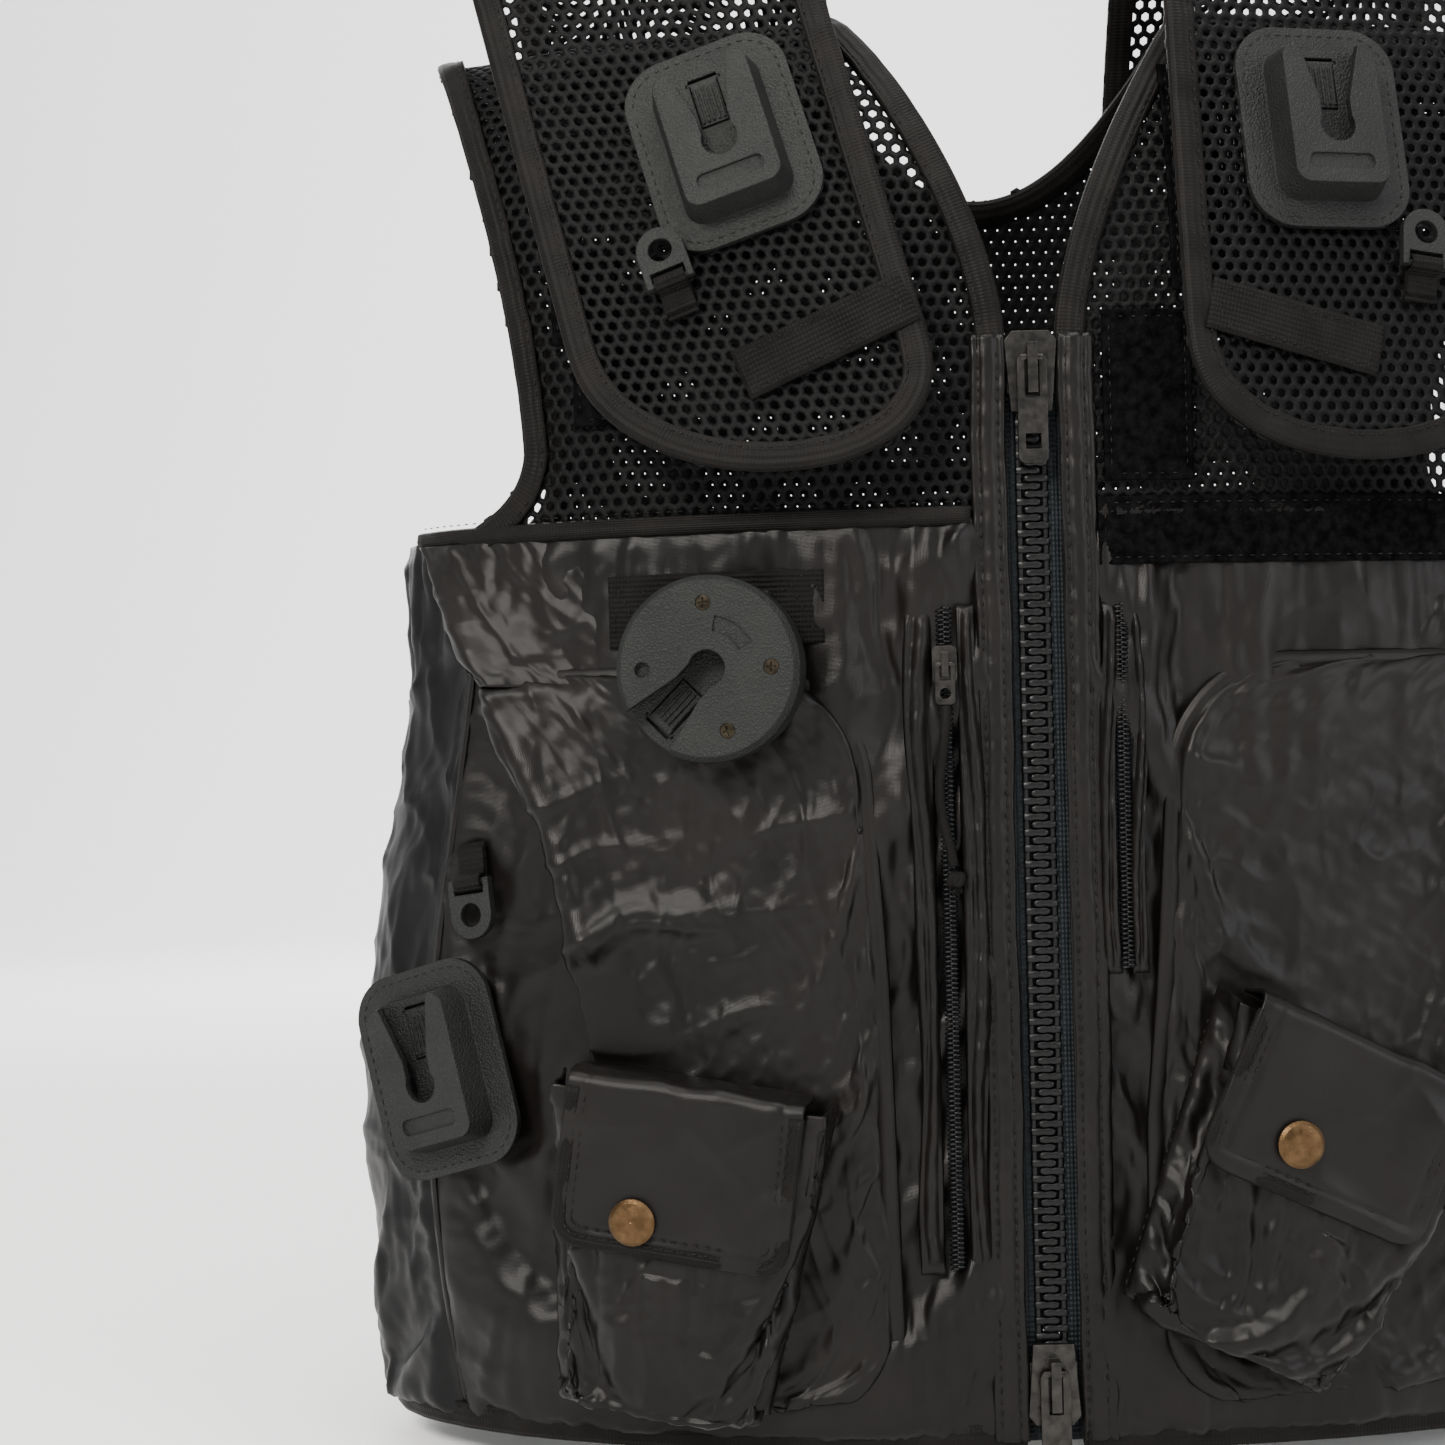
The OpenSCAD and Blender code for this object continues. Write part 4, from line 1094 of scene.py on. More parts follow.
    def _welt(self, side: Side, k: int, a: float, b: float) -> None:
        """Build one fold: two rolls across its width, with puckers along it."""
        z = np.arange(self.low(side) - 2, self.high + 1, 1.5)
        u = np.linspace(0, 1, 13)
        uu, zz = np.meshgrid(u, z)
        bend = 1.3 * np.sin(zz / 37 + k) + 0.5 * np.sin(zz / 13 + 2 * k)
        free = (uu if k else 1 - uu) if side is Side.RIGHT else 1
        x = a + uu * (b - a) + bend * free * np.clip((zz - self.low(side)) / 20, 0, 1)
        rolls = np.abs(np.sin(math.pi * (1.5 * uu + 0.25 * np.sin(zz / 23 + k)))) ** 0.7
        pucker = ripple(np.stack([uu * 7, zz], -1), 41 + k + int(side.value), 8, 11.0)
        ends = smooth((zz - z[0]) / 8) * smooth((z[-1] - zz) / 6)
        rim = np.sin(math.pi * np.clip(uu, 0.0, 1.0)) ** 0.4
        d = 0.7 + ends * rim * (1.1 + 2.3 * rolls + 0.65 * pucker)
        xx = self.centre(side) + side.value * x
        if side is Side.RIGHT:
            xx = self.centre(side) - x
        obj = slab_on(f"slit_fold_{side.word}_{k}", xx, FORM.s_of(zz), d, 0.7, side is Side.RIGHT)
        fit(obj, NYLON, VEST, "slit_welts" if k == 0 and side is Side.RIGHT else None)

    def _coils(self) -> None:
        """Build both coil zips as one piece of small links on a thin tape."""
        parts = []
        for side in Side:
            z = np.arange(self.low(side), self.high - 1, 1.55)
            for half in (-1, 1):
                zc = z + (0.75 if half > 0 else 0)
                for zz in zc:
                    f = FORM.spot(self.centre(side), zz, 1.5)
                    line = place(f, np.array([[half * 2.3, -0.1, -0.2], [half * 1.6, 0.1, 0.75],
                                              [half * 0.1, 0.2, 0.95], [-half * 0.35, 0.2, 0.4]]))
                    parts.append(self._tube(line, 0.42, 5))
        coils = recalculate(new_object("slit_coil_links", *join_arrays(parts)))
        fit(coils, MOULDED_DARK, VEST, "slit_coils")
        for side in Side:
            middle, half = self.centre(side), 1.8 if side is Side.RIGHT else 3.6
            x, s = patch_grid(middle - half, middle + half, self.low(side), self.high, 2, 60)
            tape = slab_on(f"slit_tape_{side.word}", x, s, np.full_like(x, 1.2), 0.6, False)
            fit(tape, ZIP_TAPE)


# ---------------------------------------------------------------------------
# Front zip
# ---------------------------------------------------------------------------


@dataclass(frozen=True)
class FrontZip:
    """Moulded-tooth zip with corded tapes, and the folded plackets beside it."""

    pitch: float = 5.1
    bottom: float = 28.0
    top: float = 345.0
    plane_y: float = -81.0

    def build(self) -> None:
        """Build both sides."""
        for side in Side:
            self._teeth(side)
            self._tape(side)
            self._placket(side)

    @staticmethod
    def _tooth() -> Solid:
        """Model one tooth with mesh operators: a block, cut across, waisted and bevelled.

        Returns:
            Its points in millimetres about its own middle, and its faces.
        """
        bpy.ops.object.select_all(action="DESELECT")
        bpy.ops.mesh.primitive_cube_add(size=MM, location=(0, 0, 0))
        block = bpy.context.object
        bpy.ops.object.mode_set(mode="EDIT")
        bpy.ops.mesh.select_all(action="SELECT")
        bpy.ops.transform.resize(value=(7.9, 4.0, 2.36), center_override=(0, 0, 0))
        bpy.ops.transform.translate(value=(1.05 * MM, 0, 0))
        for cut in (-1.5, -0.3, 0.9, 2.1):
            bpy.ops.mesh.select_all(action="SELECT")
            bpy.ops.mesh.bisect(plane_co=(cut * MM, 0, 0), plane_no=(1, 0, 0))
        tip, waist = (-2.9, 0.62), (0.9, 0.8)
        for at, narrow in (tip, waist):
            edit = bmesh.from_edit_mesh(block.data)
            for vert in edit.verts:
                vert.select = abs(vert.co.x - at * MM) < 0.1 * MM
            edit.select_flush_mode()
            bmesh.update_edit_mesh(block.data)
            bpy.ops.transform.resize(value=(1, 1, narrow), center_override=(0, 0, 0))
        bpy.ops.mesh.select_all(action="DESELECT")
        bpy.ops.mesh.edges_select_sharp(sharpness=0.9)
        bpy.ops.mesh.bevel(offset=0.3 * MM, segments=1)
        bpy.ops.object.mode_set(mode="OBJECT")
        points = read_points(block) / MM
        faces = [tuple(face.vertices) for face in block.data.polygons]
        bpy.data.objects.remove(block)
        return points, faces

    def _teeth(self, side: Side) -> None:
        """Build one side's interlocking teeth: a waisted head on a clamp round the cord."""
        count = int((self.top - self.bottom) / self.pitch)
        shift = 0.0 if side is Side.LEFT else self.pitch / 2
        tooth, faces = self._tooth()
        parts = []
        for i in range(count):
            at = np.array([side.value * 0.25, self.plane_y, self.bottom + shift + (i + 0.22) * self.pitch])
            parts.append((tooth * [side.value, 1, 1] + at, faces))
        z = np.linspace(self.bottom - 1, self.bottom + count * self.pitch + 1, 120)
        line = np.stack([np.full_like(z, side.value * 4.2), np.full_like(z, self.plane_y), z], -1)
        parts.append(SlitZip._tube(line, 1.25, 8))
        teeth = recalculate(new_object(f"zip_chain_{side.word}", *join_arrays(parts)))
        fit(teeth, MOULDED_DARK, VEST, f"zip_teeth_{side.word}")

    def _tape(self, side: Side) -> None:
        """Build the ribbed tape beside the teeth, up past the slider."""
        x = side.value * np.linspace(2.7, 20.5, 20)
        z = np.linspace(3.0, self.top + 6, 170)
        xx, zz = np.meshgrid(x, z)
        ax = np.abs(xx)
        y = self.plane_y - 0.45 - 0.25 * np.exp(-((ax - 7.2) / 0.8) ** 2) + 0.12 * np.sin(zz / 4.1) * (ax > 8)
        y = np.where(ax > 11, np.minimum(y, self.plane_y - 0.2), y)
        tape = grid_object(f"zip_tape_{side.word}", np.stack([xx, y, zz], -1), side is Side.RIGHT)
        thicken(tape, CLOTH_T)
        fit(tape, ZIP_TAPE, VEST, "zip_tapes" if side is Side.RIGHT else None)

    def _placket(self, side: Side) -> None:
        """Build the fold of nylon along the zip, with two rows of stitches."""
        z = np.arange(4.0, FORM.neck_start_z + 1, 1.6)
        u = np.linspace(0, 1, 15)
        uu, zz = np.meshgrid(u, z)
        start, w = (8.2, 11.5) if side is Side.RIGHT else (8.9, 11.8)
        base = start + uu * w
        x = base + 0.35 * np.sin(zz / 21 + side.value) + 0.18 * np.sin(zz / 6.3)
        pucker = ripple(np.stack([uu * 9, zz], -1), 7 + side.value, 8, 9.0)
        bed = np.exp(-((base - 10.8) / 0.9) ** 2) + np.exp(-((base - 17.2) / 0.9) ** 2)
        d = 0.5 + 1.9 * np.sin(math.pi * np.clip(uu * 0.96 + 0.03, 0, 1)) ** 0.45 + 0.28 * pucker - 0.9 * bed
        xx = side.value * x
        obj = grid_object(f"placket_fold_{side.word}", FORM.out(xx, FORM.s_of(zz), d), side is Side.RIGHT)
        thicken(obj, 0.7)
        fit(obj, NYLON, VEST, f"placket_{side.word}")
        zs = np.linspace(6, FORM.neck_start_z - 2, 120)
        s = FORM.s_of(zs)
        parts = []
        for at_x in (10.9, 17.2):
            run = EdgeRun.along(FORM.skin(side.value * np.full_like(zs, at_x), s),
                                FORM.normal(side.value * np.full_like(zs, at_x), s), 1)
            parts += stitch_parts(run, 0, 1.75)
        sew(f"placket_stitches_{side.word}", parts)


# ---------------------------------------------------------------------------
# Nylon body, mesh yoke and bindings
# ---------------------------------------------------------------------------


def read_points(obj: Object) -> Array:
    """Vertex places of obj in metres."""
    flat = np.empty(len(obj.data.vertices) * 3)
    obj.data.vertices.foreach_get("co", flat)
    return flat.reshape(-1, 3)


def read_mm(obj: Object) -> Array:
    """Vertex places of obj in millimetres from the hem."""
    return read_points(obj) / MM + [0, 0, BODY_H]


def read_normals(obj: Object) -> Array:
    """Vertex normals of obj."""
    flat = np.empty(len(obj.data.vertices) * 3, np.float32)
    obj.data.vertex_normals.foreach_get("vector", flat)
    return flat.reshape(-1, 3).astype(float)


def write_points(obj: Object, points: Array) -> None:
    """Move the vertices of obj."""
    obj.data.vertices.foreach_set("co", np.asarray(points, float).ravel())
    obj.data.update()


def crumple(obj: Object, held: Array, grow: float = 0.05, low: float = -1.0, high: float = 5.0,
            frames: int = 22, slip: float = 2.5) -> Object:
    """Let a panel that is cut too large for its frame fold under its own weight.

    Args:
        obj: A single-layer mesh.
        held: Hold of each vertex from 0 to 1.
        grow: How much larger the cloth is than the space it fills.
        low: Furthest a point may sink, in millimetres.
        high: Furthest a point may rise, in millimetres.
        frames: Steps of the simulation.
        slip: Furthest a point may slide along the surface, in millimetres.

    Returns:
        The same object, with its folds in the mesh.
    """
    rest, normal = read_points(obj), read_normals(obj)
    group = obj.vertex_groups.new(name="held")
    for index, weight in enumerate(held):
        if weight > 0.01:
            group.add([index], float(weight), "REPLACE")
    cloth = obj.modifiers.new("cloth", "CLOTH")
    settings = cloth.settings
    settings.vertex_group_mass = "held"
    settings.quality = 5
    settings.mass = 0.15
    settings.tension_stiffness = settings.compression_stiffness = 18
    settings.shear_stiffness = 6
    settings.bending_stiffness = 1.2
    settings.air_damping = 2.5
    settings.shrink_min = -grow
    cloth.point_cache.frame_start, cloth.point_cache.frame_end = 1, frames
    scene = bpy.context.scene
    for step in range(1, frames + 1):
        scene.frame_set(step)
    done = obj.evaluated_get(bpy.context.evaluated_depsgraph_get())
    flat = np.empty(len(rest) * 3)
    done.data.vertices.foreach_get("co", flat)
    obj.modifiers.remove(cloth)
    obj.vertex_groups.clear()
    scene.frame_set(1)
    move = flat.reshape(-1, 3) - rest
    rise = (move * normal).sum(-1, keepdims=True)
    slide = move - rise * normal
    size = np.linalg.norm(slide, axis=-1, keepdims=True)
    slide *= np.minimum(1, slip * MM / np.maximum(size, 1e-9))
    span = (high - low) / 2 * MM
    middle = (high + low) / 2 * MM
    rise = middle + span * np.tanh((rise - middle) / span) if high > low else rise
    write_points(obj, rest + slide + rise * normal * (1 - np.asarray(held)[:, None]))
    return obj


def creases(p: Array, seed: int, count: int = 9) -> Array:
    """Sharp-backed folds in seeded directions, about 0 to 1."""
    rng = np.random.default_rng(seed)
    warp = np.stack([ripple(p, seed + 90, 5, 130.0), ripple(p, seed + 91, 5, 110.0)], -1) * 9
    q = p + warp
    total = np.zeros(p.shape[:-1])
    for k in range(count):
        angle = rng.normal(0.6, 0.7)
        length = rng.uniform(26, 75)
        phase = rng.uniform(0, 6.3)
        along = q[..., 0] * math.cos(angle) + q[..., 1] * math.sin(angle)
        wave = np.abs(np.sin(math.pi * along / length + phase))
        mask = smooth(0.5 + 0.9 * ripple(p, seed + 7 * k, 4, 190.0))
        total += mask * (1 - wave) ** 2.6
    return total / 2.6


def relief(obj: Object, seed: int, fold: float, fine: float, margin: float = 9.0,
           hem_pucker: float = 0.0, gathers: float = 0.0) -> None:
    """Add creases and small waves to a sheet that still has its cloth coordinates.

    Args:
        obj: Sheet with the "cloth" map.
        seed: Seed of the waves.
        fold: Height of the creases in millimetres.
        fine: Height of the small waves.
        margin: Width of the rim that stays flat.
        hem_pucker: Height of the puckers that run in from the rim.
        gathers: Height of the upright gathers beside the zip.
    """
    soften = obj.modifiers.new("soften", "SUBSURF")
    soften.levels = soften.render_levels = 1
    apply_modifiers(obj)
    index = np.empty(len(obj.data.loops), int)
    obj.data.loops.foreach_get("vertex_index", index)
    flat = np.empty(len(obj.data.loops) * 2)
    obj.data.uv_layers["cloth"].data.foreach_get("uv", flat)
    uv = np.zeros((len(obj.data.vertices), 2))
    uv[index] = flat.reshape(-1, 2) / MM
    edge = np.minimum(uv, uv.max(axis=0) - uv).min(axis=-1)
    fade = smooth(edge / margin)
    rise = fold * creases(uv, seed) * fade + fine * ripple(uv, seed + 5, 10, 26.0) * (0.35 + 0.65 * fade)
    if hem_pucker:
        rise += hem_pucker * ripple(uv * [1.0, 0.12], seed + 11, 6, 9.0) * np.exp(-edge / 9.0)
    if gathers:
        rise += gathers * ripple(uv * [1.0, 0.14] + 4 * ripple(uv, seed + 3, 4, 70.0)[:, None] * [1.0, 0.0],
                                 seed + 13, 7, 12.0) * smooth((58 - uv[:, 0]) / 14) * fade
    rise += 0.3 * fold * creases(uv * 2.3 + 40, seed + 17, 7) * fade
    write_points(obj, read_points(obj) + read_normals(obj) * rise[:, None] * MM)


def rim_hold(nu: int, nv: int, ring: int = 2) -> Array:
    """Hold of 1 on the rim of a grid and 0 inside it."""
    i, j = np.meshgrid(np.arange(nu + 1), np.arange(nv + 1))
    return (np.minimum(np.minimum(i, nu - i), np.minimum(j, nv - j)) < ring).astype(float).ravel()


@dataclass
class Body:
    """Nylon panels, the mesh yoke, its bindings and seams."""

    net: OpenKnit = field(default_factory=OpenKnit)

    def build(self) -> None:
        """Build every part of the body."""
        for side in Side:
            self._front(side)
            self._flank(side)
            self._chest_net(side)
            self._armhole(side)
        self._back()
        self._back_net()
        self._neck()
        self._hem()
        self._seams()

    def _panel(self, name: str, points: Array, flip: bool, seed: int, node: str, finish: Finish,
               fold: float = 2.6, high: float = 2.6, gathers: float = 0.0) -> Object:
        """Fold, crease and thicken one nylon panel, and let it stand for its node."""
        rows, cols = points.shape[:2]
        obj = grid_object(name, points, flip)
        crumple(obj, rim_hold(cols - 1, rows - 1), 0.08, -4.5, high)
        relief(obj, seed, fold, 0.35, hem_pucker=0.6, gathers=gathers)
        return fit(thicken(obj, CLOTH_T), finish, VEST, node)

    def _front(self, side: Side) -> None:
        """Front nylon, from the zip to the side seam."""
        u, v = unit_grid(55, 86)
        z = 1.0 + v * (FORM.seam_z - 1.5)
        x = FORM.zip_gap + u * (FORM.side_x(z) - FORM.zip_gap)
        pts = FORM.out(side.value * x, z, np.full_like(x, -0.4))
        self._panel(f"front_nylon_{side.word}", pts, side is Side.RIGHT, 21 + side.value,
                    f"front_panel_{side.word}", NYLON, gathers=1.1)

    def _flank(self, side: Side) -> None:
        """Side nylon under the arm."""
        u, v = unit_grid(46, 86)
        a = FORM.side_angle + u * (180 - 2 * FORM.side_angle)
        z = 1.0 + v * (FORM.seam_z - 1.5)
        pts = FORM.ring(side.value * a, z, -0.4)
        self._panel(f"side_nylon_{side.word}", pts, side is Side.RIGHT, 31 + side.value,
                    f"side_panel_{side.word}", NYLON_SIDE, 2.8, 4.0)

    def _back(self) -> None:
        """Back nylon between the side seams."""
        u, v = unit_grid(100, 80)
        a = 180 - FORM.side_angle + u * 2 * FORM.side_angle
        z = 1.0 + v * (FORM.seam_z - 1.5)
        self._panel("back_nylon", FORM.ring(a, z, -0.4), False, 51, "back_panel", NYLON, 3.0, 4.0)

    def _length_map(self) -> Tuple[Array, Array, float, float]:
        """Length and s along the yoke, with the lengths at the shoulder and at the end."""
        length, s = FORM.s_by_length()
        return length, s, float(np.interp(FORM.s_top, s, length)), float(length[-1])

    def _chest_net(self, side: Side) -> None:
        """Front mesh between the neck and the armhole."""
        length, s_at, top, _ = self._length_map()

        def at(u: Array, v: Array, d: Array) -> Array:
            s = np.interp(v, length, s_at)
            wave = 0.5 * np.sin(u / 17 + v / 29) + 0.4 * np.sin(u / 9 - v / 21)
            return FORM.out(side.value * u, s, d + wave - 0.6)

        def inside(u: Array, v: Array) -> Array:
            s = np.interp(v, length, s_at)
            return (u > FORM.neck_at(s) + 1.8) & (u < FORM.arm_at(s) - 1.0) & (v > 1.2) & (v <= top + 2)

        obj = self.net.build(f"chest_net_{side.word}", (8.0, 212.0), (0.0, top + 4), at, inside,
                             side is Side.RIGHT)
        fit(obj, KNIT, VEST, f"chest_mesh_{side.word}")

    def _back_net(self) -> None:
        """Back mesh from the shoulders down to the nylon."""
        length, s_at, top, end = self._length_map()

        def at(u: Array, v: Array, d: Array) -> Array:
            s = np.interp(v, length, s_at)
            wave = 0.8 * np.sin(u / 33 + v / 23) + 0.5 * np.sin(u / 15 - v / 31)
            return FORM.out(u, s, d + wave - 0.8)

        def inside(u: Array, v: Array) -> Array:
            s = np.interp(v, length, s_at)
            beside = np.abs(u) > FORM.neck_at(s) + 0.8
            clear = np.where(s < FORM.s_neck_back, beside, s > FORM.s_neck_back + 0.3)
            return clear & (np.abs(u) < FORM.arm_at(s) - 1.0) & (v > top - 1) & (v < end - 1.5)

        obj = OpenKnit(hole_u=0.3, hole_v=0.4).build("back_net", (-212.0, 212.0), (0.0, end), at, inside)
        fit(obj, KNIT, VEST, "back_yoke_mesh")

    @staticmethod
    def _bound(name: str, run: EdgeRun, seed: int, node: str, closed: bool = False) -> None:
        """Bind an edge and run a row of stitches along the binding."""
        fit(binding(name, run, seed, closed=closed), BINDING, VEST, node)
        sew(f"{name}_stitches", stitch_parts(run, *STITCH_ROW))

    def _neck(self) -> None:
        """Binding round the neck, from the zip over the back to the zip."""
        v = np.linspace(0, 1, 60)
        s = FORM.s_neck_start - 12 + v * (FORM.s_top - FORM.s_neck_start + 12)
        a = np.radians(np.linspace(0, 180, 60)[1:-1])
        x = np.concatenate([-FORM.neck_at(s), -FORM.neck_half * np.cos(a), FORM.neck_at(s)[::-1]])
        ss = np.concatenate([s, FORM.s_top + (FORM.s_neck_back - FORM.s_top) * np.sin(a), s[::-1]])
        self._bound("neck_tape", surface_run(x, ss, 1.0), 3, "neck_binding")

    def _armhole(self, side: Side) -> None:
        """Binding right round one armhole."""
        v = (1 - np.cos(np.linspace(0, math.pi, 160))) / 2
        low = FORM.armpit_z + 3
        s = low + (2 * FORM.s_top - 2 * low) * v
        run = surface_run(side.value * FORM.arm_at(s), s, float(side.value))
        self._bound(f"armhole_tape_{side.word}", run, 5 + side.value, f"armhole_binding_{side.word}",
                    closed=True)

    def _hem(self) -> None:
        """Binding along the hem, open at the zip."""
        a = np.linspace(2.6, 357.4, 400)
        pts = FORM.ring(a, np.full_like(a, 0.8))
        normal = FORM.ring(a, np.full_like(a, 0.8), 1.0) - pts
        self._bound("hem_tape", EdgeRun.along(pts, normal, 1.0), 8, "hem_binding")

    def _seams(self) -> None:
        """Rolled seams between nylon and mesh, and down the sides."""
        for side in Side:
            x = side.value * np.linspace(20.5, 205, 120)
            run = surface_run(x, np.full_like(x, FORM.seam_z), float(side.value))
            fit(binding(f"yoke_seam_{side.word}", run, 13 + side.value, SEAM_ROLL, 0.2), BINDING)
            sew(f"yoke_seam_stitches_{side.word}", stitch_parts(run, -4.5 * side.value, 0.6))
            for k, angle in enumerate((FORM.side_angle, 180 - FORM.side_angle)):
                z = np.linspace(10, FORM.seam_z - 2, 120)
                a = np.full_like(z, side.value * angle)
                pts = FORM.ring(a, z)
                line = EdgeRun.along(pts, FORM.ring(a, z, 1.0) - pts, 1.0)
                roll = [(p * (0.4 + 0.6 * k), q * (0.35 + 0.65 * k)) for p, q in SEAM_ROLL]
                fit(binding(f"side_seam_{side.word}_{k}", line, 17 + k, roll, 0.3), NYLON)
        x = np.linspace(-205, 205, 200)
        run = surface_run(x, np.full_like(x, 2 * FORM.s_top - FORM.seam_z), 1.0)
        fit(binding("back_yoke_seam", run, 19, SEAM_ROLL, 0.2), BINDING)


# ---------------------------------------------------------------------------
# Loop tapes on the chest
# ---------------------------------------------------------------------------


@dataclass(frozen=True)
class LoopTapes:
    """Brushed tapes sewn on the chest: (side, x0, x1, z0, z1, height)."""

    patches: Tuple[Tuple[Side, float, float, float, float, float], ...] = (
        (Side.LEFT, 23, 52, 313, 368, 2.4), (Side.LEFT, 20.5, 158, 286, 308, 2.4),
        (Side.LEFT, 46, 64, 374, 450, 3.9), (Side.RIGHT, 133, 155, 366, 397, 2.4),
        (Side.RIGHT, 120, 148, 337, 364, 2.4))

    def build(self) -> None:
        """Build each tape with a fuzzy face and a row of stitches round it."""
        for k, (side, x0, x1, z0, z1, height) in enumerate(self.patches):
            nx, nz = int((x1 - x0) / 0.9), int((z1 - z0) / 0.9)
            x, s = patch_grid(x0, x1, z0, z1, nx, nz)
            rng = np.random.default_rng(60 + k)
            z = np.linspace(z0, z1, nz + 1)[:, None] + 0 * x
            edge = np.minimum(np.minimum(x - x0, x1 - x), np.minimum(z - z0, z1 - z))
            fuzz = rng.uniform(-0.28, 0.42, x.shape) * smooth(edge / 3)
            bed = 0.5 * np.exp(-((edge - 2.2) / 0.6) ** 2)
            wave = 0.35 * ripple(np.stack([x, z], -1), 77 + k, 5, 45.0)
            tape = slab_on(f"loop_tape_{k}", side.value * x, s, height - 0.2 + fuzz - bed + wave, 1.3,
                           side is Side.RIGHT)
            fit(tape, PILE, VEST, None if k else "loop_tapes")
            inset = 2.2
            cx = [x0 + inset, x1 - inset, x1 - inset, x0 + inset, x0 + inset]
            cz = [z0 + inset, z0 + inset, z1 - inset, z1 - inset, z0 + inset]
            parts = []
            for (xa, za), (xb, zb) in zip(zip(cx, cz), list(zip(cx, cz))[1:]):
                t = np.linspace(0, 1, 12)
                xx, zz = side.value * (xa + t * (xb - xa)), za + t * (zb - za)
                run = surface_run(xx, FORM.s_of(zz), 1.0)
                parts += stitch_parts(run, 0, height - 0.05)
            sew(f"loop_tape_stitches_{k}", parts)


# ---------------------------------------------------------------------------
# Over-shoulder flaps
# ---------------------------------------------------------------------------


@dataclass(frozen=True)
class Flap:
    """One over-shoulder flap: knitted mesh, bound all round, hinged in front of its loop."""

    side: Side
    length: float = 187.0
    width: float = 114.0
    lean: float = 13.0
    loop_r: float = 48.0
    skew: float = 0.22
    bend: float = 14.0

    @property
    def ref(self) -> float:
        """x that the flap's slope is measured from."""
        return 0.486 * FORM.chest_w / 2

    @property
    def loop_c(self) -> Array:
        """Centre of the loop as (y, z)."""
        return np.array([-0.1 * FORM.half_d, BODY_H + 5.4])

    def _run(self) -> Tuple[Array, float, float, float]:
        """Front top, heading at the loop's end, loop length and tail length."""
        end_z = BODY_H - 56
        s = float(FORM.s_of(end_z))
        angle = math.radians(90 * max(s - FORM.lean_z, 0) / FORM.lean_len)
        depth = max(0.0, math.cos(angle)) ** (2 / FORM.bulge)
        bow = math.sqrt(1 - (self.ref * 2 / FORM.chest_w) ** 2)
        rear = np.array([FORM.half_d * bow * depth + 6.2, end_z])
        to_end = rear - self.loop_c
        heading = (math.degrees(math.atan2(to_end[1], -to_end[0])) + 360
                   - math.degrees(math.acos(self.loop_r / np.linalg.norm(to_end))))
        loop_len = self.loop_r * math.radians(heading - self.lean)
        h = math.radians(heading)
        tail = to_end[0] * math.sin(h) + to_end[1] * math.cos(h)
        la = math.radians(self.lean)
        top = self.loop_c + self.loop_r * np.array([-math.cos(la), math.sin(la)])
        return top, heading, loop_len, abs(tail)

    @property
    def total(self) -> float:
        """Length from the free end to the rear end."""
        _, _, loop, tail = self._run()
        return self.length + loop + tail

    def profile(self, t: Array) -> Array:
        """Outer face as (y, z) at t from the free end."""
        top, heading, loop, tail = self._run()
        la, ha = math.radians(self.lean), math.radians(heading)
        t = np.asarray(t, float)[..., None]
        front = top + (t - self.length) * np.array([math.sin(la), math.cos(la)])
        h = la + (t - self.length) / self.loop_r
        arc = self.loop_c + self.loop_r * np.concatenate([-np.cos(h), np.sin(h)], -1)
        rear = (self.loop_c + self.loop_r * np.array([-math.cos(ha), math.sin(ha)])
                + (t - self.length - loop) * np.array([math.sin(ha), math.cos(ha)]))
        return np.where(t <= self.length, front, np.where(t <= self.length + loop, arc, rear))

    def middle(self, t: Array) -> Array:
        """x of the centre line at t, on the +x side."""
        _, _, loop, tail = self._run()
        if self.side is Side.LEFT:
            return np.full_like(np.asarray(t, float), self.ref + 3)
        return np.where(t < self.length, 82 + 45 * t / self.length,
                        127 - 19 * smooth((t - self.length) / (loop + tail)))

    def face(self, a: Array, t: Array) -> Array:
        """Point of the outer face on the +x side, a across and t along."""
        _, _, loop, tail = self._run()
        a, t = np.broadcast_arrays(np.asarray(a, float), np.asarray(t, float))
        x = self.middle(t) + a
        p = self.profile(t)
        w = smooth((t - self.length) / (loop + 0.5 * tail))
        curve = (np.sqrt(np.maximum(0.05, 1 - (2 * x / FORM.chest_w) ** 2))
                 / math.sqrt(1 - (2 * self.ref / FORM.chest_w) ** 2))
        y = (1 - w) * (p[..., 0] + self.skew * (x - self.ref)) + w * p[..., 0] * curve
        return np.stack([x, y, p[..., 1]], -1)

    def normal(self, a: Array, t: Array) -> Array:
        """Outward normal of the face on the +x side."""
        return unit(np.cross(self.face(np.asarray(a) + 0.5, t) - self.face(np.asarray(a) - 0.5, t),
                             self.face(a, np.asarray(t) + 0.5) - self.face(a, np.asarray(t) - 0.5)))

    def half(self, t: Array) -> Array:
        """Half width at t, rounded to nothing at the free end."""
        q = np.clip(1 - np.asarray(t, float) / 46, 0, 1)
        return self.width / 2 * np.sqrt(np.maximum(0, 1 - q ** 2.5))

    def spot(self, a: float, t: float, turn: float) -> Frame:
        """Frame on the flap's front, on this flap's own side."""
        f = turned(look_frame(self.face(np.array(a), np.array(t)), self.normal(np.array(0.0),
                   np.array(self.length / 2))), turn)
        return f if self.side is Side.LEFT else mirrored(f)

    def dock_spot(self) -> Frame:
        """Frame of the dock."""
        return self.spot(-12 if self.side is Side.RIGHT else -8, 0.6 * self.length,
                         -18 if self.side is Side.RIGHT else 0)

    def ring_spot(self) -> Frame:
        """Frame of the ring's bar."""
        return moved(self.spot(17 if self.side is Side.RIGHT else 22, 0.34 * self.length,
                               -20 if self.side is Side.RIGHT else -8), (0, 0, 4.4))

